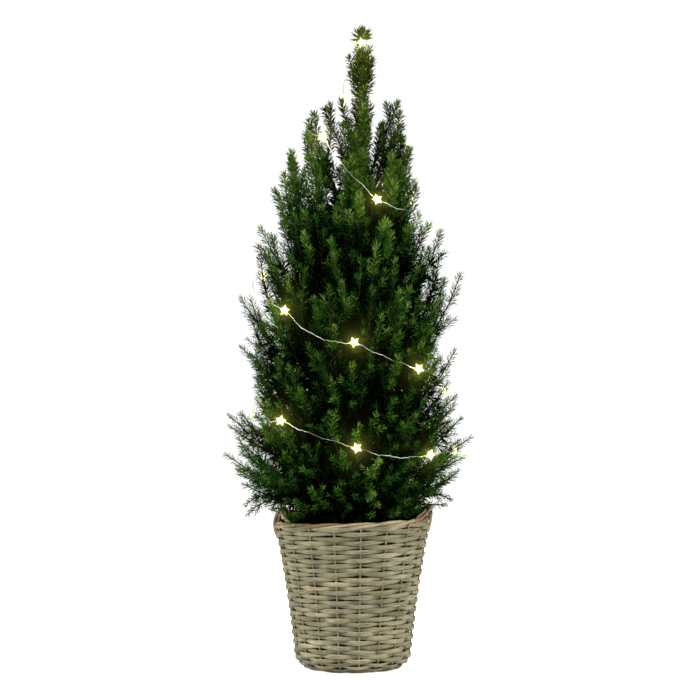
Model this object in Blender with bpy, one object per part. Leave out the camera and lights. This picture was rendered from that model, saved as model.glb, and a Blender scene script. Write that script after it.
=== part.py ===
"""Potted dwarf white spruce in a woven willow basket.

Frame: metres, +Z up. The origin is the middle of the basket's flat underside, the basket
stands on z = 0, and -Y is the side that is looked at. The basket's two ears are at -X and +X.

The crown is grown by rule. One straight, slightly leaning trunk carries masses of needles in
tiers. Each mass keeps to a wedge of its own, which is a compass sector between two sloping
boundaries. It is one stem that swells to a dense core, with bristly shoots fanned over its
outer side, each the end of a bough that turns up towards the light.
"""

import math
import random

import bmesh
import bpy
import numpy as np

# Basket, a flaring tub of willow rods woven round upright stakes
FOOT_RADIUS = 0.0550        # flat underside
CORNER_HEIGHT = 0.0200      # the rounding between the underside and the wall
WALL_TOP = 0.1848
WALL_FOOT_RADIUS = 0.0746   # outer radius the wall's curve would have at z = 0
WALL_FLARE = 0.092
WALL_CURVE = 0.280
WALL_THICKNESS = 0.0090
FLOOR_THICKNESS = 0.0100
STAKES = 18
ROWS = 12
WEAVE_SWELL = 0.0016        # how far a rod stands out where it passes before a stake
HAND_TILT = 0.030           # the rim is this much higher per metre towards +X, as woven by hand

# Border, three rods laid round the rim like a rope
BORDER_RADIUS = 0.0960
BORDER_THICKNESS = 0.0043
BORDER_LOBE = 0.10
BORDER_TWISTS = 7
BORDER_STATIONS = 42
BORDER_SIDES = 6

# Ears, a low arch of twisted rods over each side of the border
EAR_HALF_SPAN = math.radians(36.0)
EAR_RISE = 0.0190
EAR_THICKNESS = 0.0037
EAR_LEAN = {"left": 0.0115, "right": 0.0025}
EAR_SUNK = 0.006            # how much too long its legs are before the cut
EAR_STATIONS = 15
EAR_SIDES = 6
EAR_TWISTS = 2.5

# Compost that fills the basket
SOIL_TOP = 0.1700
SOIL_SIDE_GAP = 0.0012
SEAT_GAP = 0.0003           # clearance between pieces that touch

# Trunk, straight with a slight lean towards +X
TRUNK_TOP = 0.7450          # the tip, on which the leader of this year's growth stands
TRUNK_LEAN = 0.0190         # metres of lean per metre of height
TRUNK_FOOT_RADIUS = 0.0085
TRUNK_TIP_RADIUS = 0.0022
ROOT_FLARE = 0.0055
ROOT_FLARE_HEIGHT = 0.016
TRUNK_SIDES = 12

# Crown. Its outline is (height, reach towards -X, reach towards +X) up to the trunk's tip, wider
# where a year's boughs end and narrower between them.
SEED = 21
OUTLINE = ((0.215, 0.122, 0.112), (0.255, 0.158, 0.142), (0.303, 0.163, 0.154),
           (0.350, 0.148, 0.137), (0.430, 0.147, 0.124), (0.500, 0.143, 0.138),
           (0.560, 0.122, 0.114), (0.590, 0.096, 0.080), (0.620, 0.104, 0.086),
           (0.668, 0.088, 0.083), (0.735, 0.052, 0.064))
LEADER_REACH = 0.0190
LEADER_SHOOTS = 6
CROWN_TOP = 0.8400
CORE_SHARE = 0.80           # a mass's dense core ends at this share of the crown's reach
SPACE_GAP = 0.0006          # half of the clear gap between neighbouring spaces
NEEDLE_REACH = 0.0120       # how far needles stand out of a shoot
NEEDLE_SHARES = (1.0, 0.75, 0.5)    # of that reach, the longest that fits its space is taken
SHOOT_RADIUS = 0.0044       # radius of a shoot's slim core where it is thickest
SHOOT_ROOT = 0.34           # share of a bough at which its shoot is rooted in the core
SHOOT_BARE = 0.66           # and up to which it is bare
STEM_RADIUS = 0.0026
ODD_DROP = 0.024            # odd columns' boughs stand this much lower, in their neighbours' gaps
TIP_CLEAR = 0.005           # height kept between a space's boundary and the tips in it

COMPASS = ("right", "back_right", "back", "back_left", "left", "front_left", "front",
           "front_right")
# Each tier: height of its stems' feet on the trunk, number of sectors, shoots in each mass,
# half-width of its dense core, and the share of the crown's reach that every third shoot has.
# The boundaries below and above them are each a height on the trunk and a slope outwards.
TIERS = (
    ("skirt", 0.2120, 8, 5, 0.036, 0.96),
    ("lower", 0.2500, 8, 7, 0.048, 0.96),
    ("middle", 0.3200, 8, 6, 0.050, 0.96),
    ("upper", 0.4350, 8, 5, 0.040, 0.90),
    ("spire", 0.5950, 4, 5, 0.024, 0.50),
)
BOUNDARIES = ((0.186, 0.16), (0.228, 0.54), (0.282, 1.10), (0.390, 1.55), (0.545, 1.70),
              (0.722, 1.10))

WILLOW = ("willow", (0.27, 0.24, 0.15, 1.0), 0.75)
BORDER_WILLOW = ("border_willow", (0.29, 0.20, 0.11, 1.0), 0.70)
COMPOST = ("compost", (0.035, 0.022, 0.014, 1.0), 0.95)
BARK = ("bark", (0.16, 0.10, 0.06, 1.0), 0.85)
NEEDLES = ("needles", (0.035, 0.095, 0.022, 1.0), 0.55)


def clear_scene():
    for obj in list(bpy.data.objects):
        bpy.data.objects.remove(obj, do_unlink=True)


def material(finish):
    name, colour, roughness = finish
    made = bpy.data.materials.get(name)
    if made is None:
        made = bpy.data.materials.new(name)
        made.use_nodes = True
        shader = made.node_tree.nodes["Principled BSDF"]
        shader.inputs["Base Color"].default_value = colour
        shader.inputs["Roughness"].default_value = roughness
        shader.inputs["Metallic"].default_value = 0.0
    return made


def add_object(name, points, faces, finish):
    mesh = bpy.data.meshes.new(name)
    mesh.from_pydata([tuple(p) for p in points], [], faces)
    mesh.validate()
    mesh.materials.append(material(finish))
    obj = bpy.data.objects.new(name, mesh)
    bpy.context.scene.collection.objects.link(obj)
    return obj


def hand_tilt(points):
    """The basket leans with its weave: height grows a little towards +X, and not at the foot."""
    tilted = np.array(points, float)
    tilted[:, 2] += HAND_TILT * tilted[:, 0] * tilted[:, 2] / WALL_TOP
    return tilted


def ring_points(radii, heights, count):
    """Rings of points about the Z axis, one for each radius and height."""
    angles = np.arange(count) * math.tau / count
    return [
        (r * math.cos(a), r * math.sin(a), z)
        for r, z in zip(radii, heights)
        for a in angles
    ]


def band_faces(first, second, count):
    """Faces between two rings that start at these indices, seen from outside."""
    return [
        (first + i, first + (i + 1) % count, second + (i + 1) % count, second + i)
        for i in range(count)
    ]


# Basket


def wall_radius(z):
    """Outer radius of the wall, a curve that flares towards the rim."""
    return WALL_FOOT_RADIUS + WALL_FLARE * z + WALL_CURVE * z * z


def corner_radius(z):
    """Outer radius in the rounding above the foot, nearly a quarter of an ellipse."""
    side = wall_radius(CORNER_HEIGHT)
    drop = 1.0 - z / CORNER_HEIGHT
    return FOOT_RADIUS + (side - FOOT_RADIUS) * (1.0 - drop ** 2.0) ** 0.62


def make_basket():
    """The woven wall and floor as one tub. Each row of the wall swells before every other stake."""
    count = 2 * STAKES
    angles = np.arange(count) * math.tau / count
    points, rings = [], []

    def add_ring(radius, z, parity=0):
        rings.append(len(points))
        for i, a in enumerate(angles):
            swell = 0.0
            if parity and i % 2 == 0:
                swell = WEAVE_SWELL * parity * (-1) ** (i // 2)
            r = radius + swell
            points.append((r * math.cos(a), r * math.sin(a), z))

    add_ring(FOOT_RADIUS, 0.0)
    add_ring(corner_radius(0.2 * CORNER_HEIGHT), 0.2 * CORNER_HEIGHT)
    add_ring(corner_radius(0.5 * CORNER_HEIGHT), 0.5 * CORNER_HEIGHT)
    pitch = (WALL_TOP - CORNER_HEIGHT) / ROWS
    for row in range(ROWS):
        z = CORNER_HEIGHT + (row + 0.5) * pitch
        add_ring(wall_radius(z) - WEAVE_SWELL, z, parity=1 if row % 2 else -1)
    add_ring(wall_radius(WALL_TOP) - WEAVE_SWELL, WALL_TOP)
    inner = [WALL_TOP, 0.5 * (WALL_TOP + FLOOR_THICKNESS), FLOOR_THICKNESS]
    for z in inner:
        add_ring(wall_radius(z) - WALL_THICKNESS, z)
    faces = []
    for low, high in zip(rings, rings[1:]):
        faces += band_faces(low, high, count)
    faces.append(tuple(rings[0] + i for i in reversed(range(count))))
    faces.append(tuple(rings[-1] + i for i in range(count)))
    return add_object("basket", hand_tilt(points), faces, WILLOW)


def rope(name, centre, across, up, lobes, twists, thickness, sides, stations, ring, finish):
    """A rope of rods laid together: a lobed section that turns as it runs along a path.

    centre, across and up are functions of the share of the path, from 0 to 1."""
    points = []
    for k in range(stations):
        share = k / stations if ring else k / (stations - 1)
        turn = math.tau * twists * share
        for j in range(sides):
            a = math.tau * j / sides
            radius = thickness * (1.0 + BORDER_LOBE * math.cos(lobes * (a - turn)))
            offset = across(share) * math.cos(a) + up(share) * math.sin(a)
            points.append(centre(share) + radius * offset)
    faces = []
    for k in range(stations if ring else stations - 1):
        low, high = k * sides, (k + 1) % stations * sides
        faces += band_faces(low, high, sides)
    if not ring:
        faces.append(tuple(reversed(range(sides))))
        faces.append(tuple((stations - 1) * sides + j for j in range(sides)))
    return add_object(name, hand_tilt(points), faces, finish)


def outward(angle):
    return np.array((math.cos(angle), math.sin(angle), 0.0))


def face_out(obj):
    mesh = bmesh.new()
    mesh.from_mesh(obj.data)
    bmesh.ops.recalc_face_normals(mesh, faces=mesh.faces)
    mesh.to_mesh(obj.data)
    mesh.free()


def border_height():
    """Height of the middle of the border, which rests on the wall's top."""
    return WALL_TOP + SEAT_GAP + BORDER_THICKNESS * (1.0 + BORDER_LOBE)


def make_border():
    z_up = np.array((0.0, 0.0, 1.0))
    border = rope(
        "border",
        centre=lambda s: BORDER_RADIUS * outward(math.tau * s) + border_height() * z_up,
        across=lambda s: outward(math.tau * s),
        up=lambda s: z_up,
        lobes=3,
        twists=BORDER_TWISTS / 3,
        thickness=BORDER_THICKNESS,
        sides=BORDER_SIDES,
        stations=BORDER_STATIONS,
        ring=True,
        finish=BORDER_WILLOW,
    )
    face_out(border)
    return border


def border_crest(angle):
    """How far the border's top stands above its middle at this compass angle."""
    corners = [math.tau * j / BORDER_SIDES for j in range(BORDER_SIDES)]
    lobes = [3.0 * a - BORDER_TWISTS * angle for a in corners]
    return max(
        BORDER_THICKNESS * (1.0 + BORDER_LOBE * math.cos(lobe)) * math.sin(a)
        for a, lobe in zip(corners, lobes)
    )


def border_top():
    return border_height() + BORDER_THICKNESS * (1.0 + BORDER_LOBE)


def make_ear(side, middle):
    """A low arch over the border. It is made a little long, then cut flat where it stands."""
    foot = border_height() + border_crest(EAR_HALF_SPAN) + SEAT_GAP
    start = foot - EAR_SUNK
    top = border_top() + EAR_RISE - EAR_THICKNESS

    def height(s):
        return start + (top - start) * math.sin(math.pi * s) ** 0.8

    def centre(s):
        angle = middle - EAR_HALF_SPAN * math.cos(math.pi * s)
        radius = BORDER_RADIUS - EAR_LEAN[side] * math.sin(math.pi * s) ** 1.5
        return radius * outward(angle) + np.array((0.0, 0.0, height(s)))

    def along(s):
        step = centre(min(1.0, s + 0.01)) - centre(max(0.0, s - 0.01))
        return step / np.linalg.norm(step)

    def across(s):
        angle = middle - EAR_HALF_SPAN * math.cos(math.pi * s)
        sideways = outward(angle)
        sideways = sideways - along(s) * sideways.dot(along(s))
        return sideways / np.linalg.norm(sideways)

    ear = rope(
        "ear_" + side,
        centre=centre,
        across=across,
        up=lambda s: np.cross(along(s), across(s)),
        lobes=2,
        twists=EAR_TWISTS,
        thickness=EAR_THICKNESS,
        sides=EAR_SIDES,
        stations=EAR_STATIONS,
        ring=False,
        finish=BORDER_WILLOW,
    )
    face_out(ear)
    # The tilted border's top, as a plane at this ear.
    slope = HAND_TILT * foot / WALL_TOP
    mesh = bmesh.new()
    mesh.from_mesh(ear.data)
    cut = bmesh.ops.bisect_plane(
        mesh,
        geom=mesh.verts[:] + mesh.edges[:] + mesh.faces[:],
        plane_co=(0.0, 0.0, foot),
        plane_no=(-slope, 0.0, 1.0),
        clear_inner=True,
    )
    edges = [g for g in cut["geom_cut"] if isinstance(g, bmesh.types.BMEdge)]
    bmesh.ops.holes_fill(mesh, edges=edges)
    bmesh.ops.recalc_face_normals(mesh, faces=mesh.faces)
    mesh.to_mesh(ear.data)
    mesh.free()
    return ear


def make_compost():
    """The compost, clear of the wall all round, with a shallow mound towards the trunk."""
    count = STAKES
    gap = WALL_THICKNESS + SOIL_SIDE_GAP
    levels = (FLOOR_THICKNESS + SEAT_GAP, 0.5 * (WALL_TOP + FLOOR_THICKNESS), SOIL_TOP - 0.004)
    radii = [wall_radius(z) - gap for z in levels]
    levels += (SOIL_TOP,)
    radii.append(0.045)
    points = ring_points(radii, levels, count)
    faces = [tuple(reversed(range(count)))]
    for k in range(len(levels) - 1):
        faces += band_faces(k * count, (k + 1) * count, count)
    faces.append(tuple((len(levels) - 1) * count + i for i in range(count)))
    return add_object("compost", points, faces, COMPOST)


# Trunk


def trunk_axis(z):
    return np.array((TRUNK_LEAN * (z - SOIL_TOP), 0.0, z))


def trunk_radius(z):
    """Taper from the foot to the tip, with the root flare added near the ground."""
    share = min(1.0, max(0.0, (z - SOIL_TOP) / (TRUNK_TOP - SOIL_TOP)))
    taper = TRUNK_FOOT_RADIUS + (TRUNK_TIP_RADIUS - TRUNK_FOOT_RADIUS) * share ** 0.85
    return taper + ROOT_FLARE * math.exp(-(z - SOIL_TOP) / ROOT_FLARE_HEIGHT * 2.0)


def make_trunk():
    foot = SOIL_TOP + SEAT_GAP
    levels = [foot + rise for rise in (0.0, 0.004, 0.010, 0.020, 0.09, 0.23, 0.38, 0.53)]
    levels.append(TRUNK_TOP)
    points = []
    for z in levels:
        for i in range(TRUNK_SIDES):
            a = math.tau * i / TRUNK_SIDES
            points.append(trunk_axis(z) + trunk_radius(z) * outward(a))
    faces = [tuple(reversed(range(TRUNK_SIDES)))]
    for k in range(len(levels) - 1):
        faces += band_faces(k * TRUNK_SIDES, (k + 1) * TRUNK_SIDES, TRUNK_SIDES)
    faces.append(tuple((len(levels) - 1) * TRUNK_SIDES + i for i in range(TRUNK_SIDES)))
    return add_object("trunk", points, faces, BARK)


# Spaces that the masses keep to


def outline_at(z):
    """The crown's reach towards -X and towards +X at this height."""
    heights, left, right = zip(*OUTLINE)
    return float(np.interp(z, heights, left)), float(np.interp(z, heights, right))


def crown_reach(z):
    """How far the outermost needles stand from the crown's middle line at this height."""
    return LEADER_REACH if z > TRUNK_TOP else 0.5 * sum(outline_at(z))


def crown_middle(z):
    left, right = outline_at(z)
    return np.array((0.5 * (right - left), 0.0, z))


class Space:
    """A wedge of the crown: a compass sector between a floor cone and a sloping roof plane."""

    def __init__(self, middle, half_width, floor, roof):
        self.middle = middle
        self.half_width = half_width
        self.floor = floor
        self.roof = roof
        self.out = outward(middle)
        edges = (middle - half_width, middle + half_width)
        self.sides = [
            side * np.array((-math.sin(edge), math.cos(edge), 0.0))
            for side, edge in zip((1, -1), edges)
        ]

    def holds(self, point):
        """True if the point is inside, and clear of the trunk, the basket and the ears."""
        offset = point - trunk_axis(point[2])
        radius = math.hypot(offset[0], offset[1])
        if radius < trunk_radius(point[2]) + SEAT_GAP:
            return False
        if min(offset.dot(side) for side in self.sides) < SPACE_GAP:
            return False
        height, slope = self.floor
        gap = SPACE_GAP * math.hypot(1.0, slope)
        if point[2] < height + slope * radius + gap:
            return False
        height, slope = self.roof
        gap = SPACE_GAP * math.hypot(1.0, slope)
        if point[2] > height + slope * offset.dot(self.out) - gap:
            return False
        return not near_basket(point)

    def levels(self):
        """Heights between which the mass's tips stand, where its boundaries meet the outline."""
        return meeting_height(self.floor) + TIP_CLEAR, meeting_height(self.roof) - TIP_CLEAR


def meeting_height(boundary):
    """The height at which a sloping boundary meets the crown's outline, by repeated halving."""
    low, high = boundary[0], CROWN_TOP
    for _ in range(30):
        middle = 0.5 * (low + high)
        if boundary[0] + boundary[1] * crown_reach(middle) > middle:
            low = middle
        else:
            high = middle
    return low


def near_basket(point):
    """True for a point in the basket, on its border, or in an ear or its finger gap."""
    radius = math.hypot(point[0], point[1])
    if point[2] < SOIL_TOP + 0.002:
        return True
    if point[2] < border_top() + 0.006 and radius > BORDER_RADIUS - 0.016:
        return True
    from_ear = abs(math.atan2(point[1], abs(point[0])))
    by_ear = from_ear < EAR_HALF_SPAN + math.radians(6.0) and radius > BORDER_RADIUS - 0.034
    return by_ear and point[2] < border_top() + EAR_RISE + 0.005


# Growth


class Bough:
    """A line from the trunk to a tip. It runs outwards first and then turns up."""

    def __init__(self, foot_height, foot_angle, tip_height, tip_angle, reach_share=1.0):
        self.foot = (foot_height, foot_angle)
        self.tip = (tip_height, tip_angle)
        middle = crown_middle(tip_height) - trunk_axis(tip_height)
        self.reach = reach_share * crown_reach(tip_height) + middle.dot(outward(tip_angle))

    def point(self, share):
        rise = share ** 1.28
        height = self.foot[0] + (self.tip[0] - self.foot[0]) * rise
        start = trunk_radius(self.foot[0] - STEM_RADIUS) + SEAT_GAP + TRUNK_LEAN * STEM_RADIUS
        reach = start + (self.reach - start) * (1.0 - (1.0 - share) ** 1.45)
        angle = self.foot[1] + (self.tip[1] - self.foot[1]) * share
        return trunk_axis(height) + reach * outward(angle)


def two_across(along):
    """Two directions across a line, the first one level."""
    side = np.cross(along, (0.0, 0.0, 1.0))
    if np.linalg.norm(side) < 1e-4:
        side = np.array((1.0, 0.0, 0.0))
    side = side / np.linalg.norm(side)
    return side, np.cross(side, along)


def toothed_mesh(rings, tip, needle):
    """A closed body through rings of points, each ring turned half a step from the last.

    The facets between two rings then point alternately on and back. Each that points on is drawn
    out to the point that needle(k, j) gives, or stays flat where that is None."""
    sides = len(rings[0])
    points = [p for ring in rings for p in ring]
    faces = [tuple(reversed(range(sides)))]
    for k in range(len(rings) - 1):
        for j in range(sides):
            low, next_low = sides * k + j, sides * k + (j + 1) % sides
            high, before_high = sides * (k + 1) + j, sides * (k + 1) + (j - 1) % sides
            faces.append((low, high, before_high))
            apex = needle(k, j)
            if apex is None:
                faces.append((low, next_low, high))
                continue
            points.append(apex)
            out = len(points) - 1
            faces += [(low, next_low, out), (next_low, high, out), (high, low, out)]
    last = sides * (len(rings) - 1)
    points.append(tip)
    faces += [(last + j, last + (j + 1) % sides, len(points) - 1) for j in range(sides)]
    return np.array(points), faces


def spread(along, angle, flat=1.0, tall=1.0):
    """A direction across a line, at this angle round it, on an ellipse of these half-axes."""
    side, over = two_across(along)
    return side * math.cos(angle) * flat + over * math.sin(angle) * tall


def headings(line):
    steps = [line[min(k + 1, len(line) - 1)] - line[max(k - 1, 0)] for k in range(len(line))]
    return [step / np.linalg.norm(step) for step in steps]


def shoot_mesh(line, radii, bare, turn, reach=NEEDLE_REACH, fits=lambda point: True):
    """A spray of needles: a slim three-sided core that needles stand out of, past its bare part.

    The last point of the line is the shoot's tip, and there is one radius for each before it. A
    needle whose tip does not fit is made shorter, or else is left out."""
    along = headings(line)
    rings = [
        [line[k] + radius * spread(along[k], turn + math.tau * (j / 3 + k / 6)) for j in range(3)]
        for k, radius in enumerate(radii)
    ]

    def needle(k, j):
        if k < bare:
            return None
        angle = turn + math.tau * (j / 3 + (k + 1) / 6)
        middle = 0.5 * (line[k] + line[k + 1])
        way = spread(along[k + 1], angle) + along[k + 1]
        apexes = (middle + share * reach * way for share in NEEDLE_SHARES)
        return next(filter(fits, apexes), None)

    return toothed_mesh(rings, line[-1], needle)


def bough_shoot(bough, turn, space):
    """The part of a bough that stands out of its mass's core, with its needles."""
    shares = (SHOOT_ROOT, SHOOT_BARE, 0.5 * (1.0 + SHOOT_BARE), 0.98)
    line = [bough.point(s) for s in shares]
    line.append(line[-1] + 0.9 * NEEDLE_REACH * headings(line)[-1])
    radii = (0.5 * SHOOT_RADIUS, 0.55 * SHOOT_RADIUS, SHOOT_RADIUS, 0.6 * SHOOT_RADIUS)
    return shoot_mesh(line, radii, 1, turn, fits=space.holds)


def core_mesh(space, bough, width, rng):
    """A mass's stem and the dense core that it swells to, drawn in to fit its space."""
    sides = 5
    shares = (0.0, 0.07, 0.20, 0.37, 0.54, 0.68)
    swells = (0.0, 0.0, 0.75, 1.0, 1.0, 0.60)
    line = [bough.point(s) for s in shares]
    along = headings(line)
    along[0] = space.out
    rings = []
    for k, swell in enumerate(swells):
        ring = []
        for j in range(sides):
            angle = math.tau * (j / sides + k / (2 * sides))
            offset = spread(along[k], angle, 1.05, 1.15)
            size = STEM_RADIUS + swell * width * rng.uniform(0.8, 1.1)
            while k and size > 0.3 * STEM_RADIUS and not fits_core(space, line[k] + offset * size):
                size *= 0.88
            ring.append(line[k] + offset * size)
        rings.append(ring)

    def needle(k, j):
        if k < 3:
            return None
        middle = (rings[k][j] + rings[k][(j + 1) % sides] + rings[k + 1][j]) / 3.0
        out = middle - 0.5 * (line[k] + line[k + 1])
        apex = middle + NEEDLE_REACH * (1.1 * out / np.linalg.norm(out) + 0.9 * along[k])
        return apex if space.holds(apex) else None

    return toothed_mesh(rings, line[-1] + 0.3 * width * along[-1], needle)


def fits_core(space, point):
    offset = point - crown_middle(point[2])
    inside = math.hypot(offset[0], offset[1]) < CORE_SHARE * crown_reach(point[2])
    return inside and space.holds(point)


def make_piece(points, faces):
    """A closed helper mesh with its faces out, for one Boolean union."""
    mesh = bpy.data.meshes.new("piece")
    mesh.from_pydata([tuple(p) for p in points], [], faces)
    shape = bmesh.new()
    shape.from_mesh(mesh)
    bmesh.ops.triangulate(shape, faces=shape.faces)
    bmesh.ops.recalc_face_normals(shape, faces=shape.faces)
    if shell_volume(shape.faces) < 0.0:
        bmesh.ops.reverse_faces(shape, faces=shape.faces)
    shape.to_mesh(mesh)
    shape.free()
    return bpy.data.objects.new("piece", mesh)


def shell_volume(faces):
    """Six times the volume inside these triangles, below zero for a hollow."""
    return sum(
        face.verts[0].co.dot(face.verts[1].co.cross(face.verts[2].co)) for face in faces
    )


def keep_main_body(mesh):
    """Fills the hollows that fusing sealed and drops loose scraps: the largest shell stays."""
    shape = bmesh.new()
    shape.from_mesh(mesh)
    bmesh.ops.triangulate(shape, faces=shape.faces)
    left, shells = set(shape.faces), []
    while left:
        shell, front = set(), [next(iter(left))]
        while front:
            face = front.pop()
            if face in left:
                left.discard(face)
                shell.add(face)
                front += [near for edge in face.edges for near in edge.link_faces]
        shells.append(shell)
    shells.sort(key=shell_volume)
    for shell in shells[:-1]:
        bmesh.ops.delete(shape, geom=list(shell), context="FACES")
    shape.to_mesh(mesh)
    shape.free()


def fuse(name, pieces, finish):
    """One Boolean union of a stem with everything that stands out of it, applied."""
    stem = pieces[0]
    stem.name = name
    group = bpy.data.collections.new(name + "_pieces")
    bpy.context.scene.collection.children.link(group)
    bpy.context.scene.collection.objects.link(stem)
    for piece in pieces[1:]:
        group.objects.link(piece)
    union = stem.modifiers.new("fuse", "BOOLEAN")
    union.operation = "UNION"
    union.operand_type = "COLLECTION"
    union.collection = group
    union.solver = "MANIFOLD"
    bpy.context.view_layer.update()
    graph = bpy.context.evaluated_depsgraph_get()
    joined = bpy.data.meshes.new_from_object(stem.evaluated_get(graph))
    stem.modifiers.clear()
    stem.data = joined
    joined.name = name
    keep_main_body(joined)
    joined.materials.clear()
    joined.materials.append(material(finish))
    for piece in pieces[1:]:
        bpy.data.objects.remove(piece, do_unlink=True)
    bpy.data.collections.remove(group)
    return stem


def fitting_shoot(space, foot_height, height, angle, reach, turn):
    """The shoot towards this tip, eased towards the middle of its space until it fits, or None."""
    low, high = space.levels()
    for attempt in range(9):
        ease = 1.0 - 0.11 * attempt
        eased_height = 0.5 * (low + high) + (height - 0.5 * (low + high)) * ease
        eased_angle = space.middle + (angle - space.middle) * (0.5 + 0.5 * ease)
        bough = Bough(foot_height, space.middle, eased_height, eased_angle, reach - 0.01 * attempt)
        points, faces = bough_shoot(bough, turn, space)
        if all(space.holds(p) for p in points):
            return make_piece(points, faces)
    return None


def make_mass(name, space, foot_height, shoots, width, third_reach, rng):
    """One mass: a stem that swells to a dense core, and shoots fanned over its outer side."""
    low, high = space.levels()
    middle = Bough(foot_height, space.middle, 0.5 * (low + high), space.middle, 0.92)
    pieces = [make_piece(*core_mesh(space, middle, width, rng))]
    spin = rng.random()
    for k in range(shoots):
        height = low + (high - low) * (k + 0.5 + rng.uniform(-0.3, 0.3)) / shoots
        sideways = 2.0 * ((spin + 0.618 * k) % 1.0) - 1.0
        angle = space.middle + 0.82 * space.half_width * sideways
        reach = third_reach if k % 3 == 2 else 0.96
        turn = rng.uniform(0.0, math.tau)
        shoot = fitting_shoot(space, foot_height, height, angle, reach, turn)
        if shoot:
            pieces.append(shoot)
    return fuse(name, pieces, NEEDLES)


def make_leader():
    """The leader, straight on from the trunk's tip, with a few short side shoots."""
    foot = TRUNK_TOP + SEAT_GAP
    length = CROWN_TOP - NEEDLE_REACH * 0.4 - foot
    shares = (0.0, 0.04, 0.20, 0.36, 0.52, 0.68, 0.84, 0.94, 1.0)
    line = [trunk_axis(foot + length * s) for s in shares]
    radii = (TRUNK_TIP_RADIUS, 0.0026, 0.0036, 0.0038, 0.0036, 0.0034, 0.0030, 0.0020)
    pieces = [make_piece(*shoot_mesh(line, radii, 1, 0.4, NEEDLE_REACH))]
    for k in range(LEADER_SHOOTS):
        share = 0.05 + 0.05 * k
        root = trunk_axis(foot + length * share)
        side = outward(2.4 * k)
        reach = LEADER_REACH - 0.45 * NEEDLE_REACH
        rise = (0.7 + 3.0 * share) * reach
        line = [root + s * reach * side + np.array((0.0, 0.0, rise * s * (1.0 + s)))
                for s in (0.05, 0.4, 0.75, 0.95, 1.1)]
        radii = (0.0014, 0.0018, 0.0026, 0.0016)
        pieces.append(make_piece(*shoot_mesh(line, radii, 1, 1.3 * k, 0.5 * NEEDLE_REACH)))
    fuse("leader_needles", pieces, NEEDLES)


def make_crown():
    rng = random.Random(SEED)
    for level, (tier, foot_height, columns, shoots, width, third_reach) in enumerate(TIERS):
        for column in range(columns):
            drop = -0.5 * ODD_DROP if columns == 8 and column % 2 else 0.0
            floor = (BOUNDARIES[level][0] + drop * (level > 0), BOUNDARIES[level][1])
            roof = (BOUNDARIES[level + 1][0] + drop, BOUNDARIES[level + 1][1])
            half_width = math.pi / columns
            space = Space(math.tau * column / columns, half_width, floor, roof)
            name = f"{tier}_needles_{COMPASS[column * 8 // columns]}"
            make_mass(name, space, foot_height + drop, shoots, width, third_reach, rng)
    make_leader()


def main():
    clear_scene()
    make_basket()
    make_border()
    make_ear("right", 0.0)
    make_ear("left", math.pi)
    make_compost()
    make_trunk()
    make_crown()


main()
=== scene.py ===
"""Looks of a potted dwarf white spruce in a willow basket, dressed with a string of star lights.

Frame: metres, +Z up, the origin in the middle of the basket's flat underside, -Y to the front.
Each surface is worked out as whole arrays: a grid of two parameters, or a section carried along
many paths at once. The crown grows by the rule of the solids, carried on to finer twigs.
"""

import math

import bpy
import numpy as np
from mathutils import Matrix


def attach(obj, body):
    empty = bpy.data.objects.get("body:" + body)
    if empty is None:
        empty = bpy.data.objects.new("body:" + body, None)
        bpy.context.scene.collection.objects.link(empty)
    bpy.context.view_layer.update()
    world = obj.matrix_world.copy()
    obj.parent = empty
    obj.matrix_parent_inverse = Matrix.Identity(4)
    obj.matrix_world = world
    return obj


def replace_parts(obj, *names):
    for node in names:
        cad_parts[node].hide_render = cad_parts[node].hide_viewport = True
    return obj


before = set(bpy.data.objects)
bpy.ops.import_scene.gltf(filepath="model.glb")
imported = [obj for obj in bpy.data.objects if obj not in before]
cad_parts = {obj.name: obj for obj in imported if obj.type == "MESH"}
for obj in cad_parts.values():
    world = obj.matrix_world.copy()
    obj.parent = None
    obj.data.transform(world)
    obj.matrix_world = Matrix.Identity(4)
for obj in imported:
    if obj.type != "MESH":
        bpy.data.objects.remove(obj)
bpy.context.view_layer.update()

TAU = math.tau
UP = np.array((0.0, 0.0, 1.0))
WHITE = (1.0, 1.0, 1.0, 1.0)

# Basket, as the solids have it
FOOT_RADIUS = 0.055
CORNER_HEIGHT = 0.02
WALL_TOP = 0.1848
WALL_FOOT_RADIUS = 0.0746
WALL_FLARE = 0.092
WALL_CURVE = 0.28
HAND_TILT = 0.03
STAKES = 18
BORDER_RADIUS = 0.096
BORDER_HEIGHT = 0.1898
BORDER_SWAY = 0.0026  # how far each rod turns out of the rope's middle
BORDER_ROD_RADIUS = 0.0021
HOOP_RADIUS = 0.0615  # of the hoop round the foot
HOOP_HEIGHT = 0.0036
HOOP_SWAY = 0.0009
HOOP_ROD_RADIUS = 0.0019
EAR_HALF_SPAN = math.radians(36.0)
EAR_TOP = 0.2105
EAR_LEAN = {"left": 0.0075, "right": -0.004}  # inwards at the top
EAR_PEAK = {"left": 3.0, "right": 2.0}  # the higher, the narrower the arch's top
EAR_SWAY = 0.0017
EAR_TURNS = 1.6  # of its two rods round each other, from end to end
EAR_ROD_RADII = (0.0019, 0.0019, 0.0029, 0.0024)
# Rods that bind each ear to the wall: (radius, height) of places along them
EAR_TIES = {
    "left": (((0.0962, 0.17), (0.0988, 0.179), (0.1006, 0.186), (0.1012, 0.192), (0.0998, 0.199),
              (0.096, 0.206), (0.0912, 0.21), (0.0878, 0.209), (0.0868, 0.205)),
             ((0.096, 0.188), (0.0958, 0.194), (0.0945, 0.199), (0.092, 0.204), (0.089, 0.2065),
              (0.087, 0.2055))),
    "right": (((0.0965, 0.174), (0.0985, 0.181), (0.1, 0.188), (0.101, 0.194), (0.1012, 0.2),
               (0.0998, 0.2045), (0.0965, 0.206)),
              ((0.0915, 0.187), (0.0935, 0.192), (0.0965, 0.198), (0.0985, 0.203), (0.0985, 0.2055))),
}
SOIL_TOP = 0.17
COMPOST_FOOT = 0.008

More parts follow.
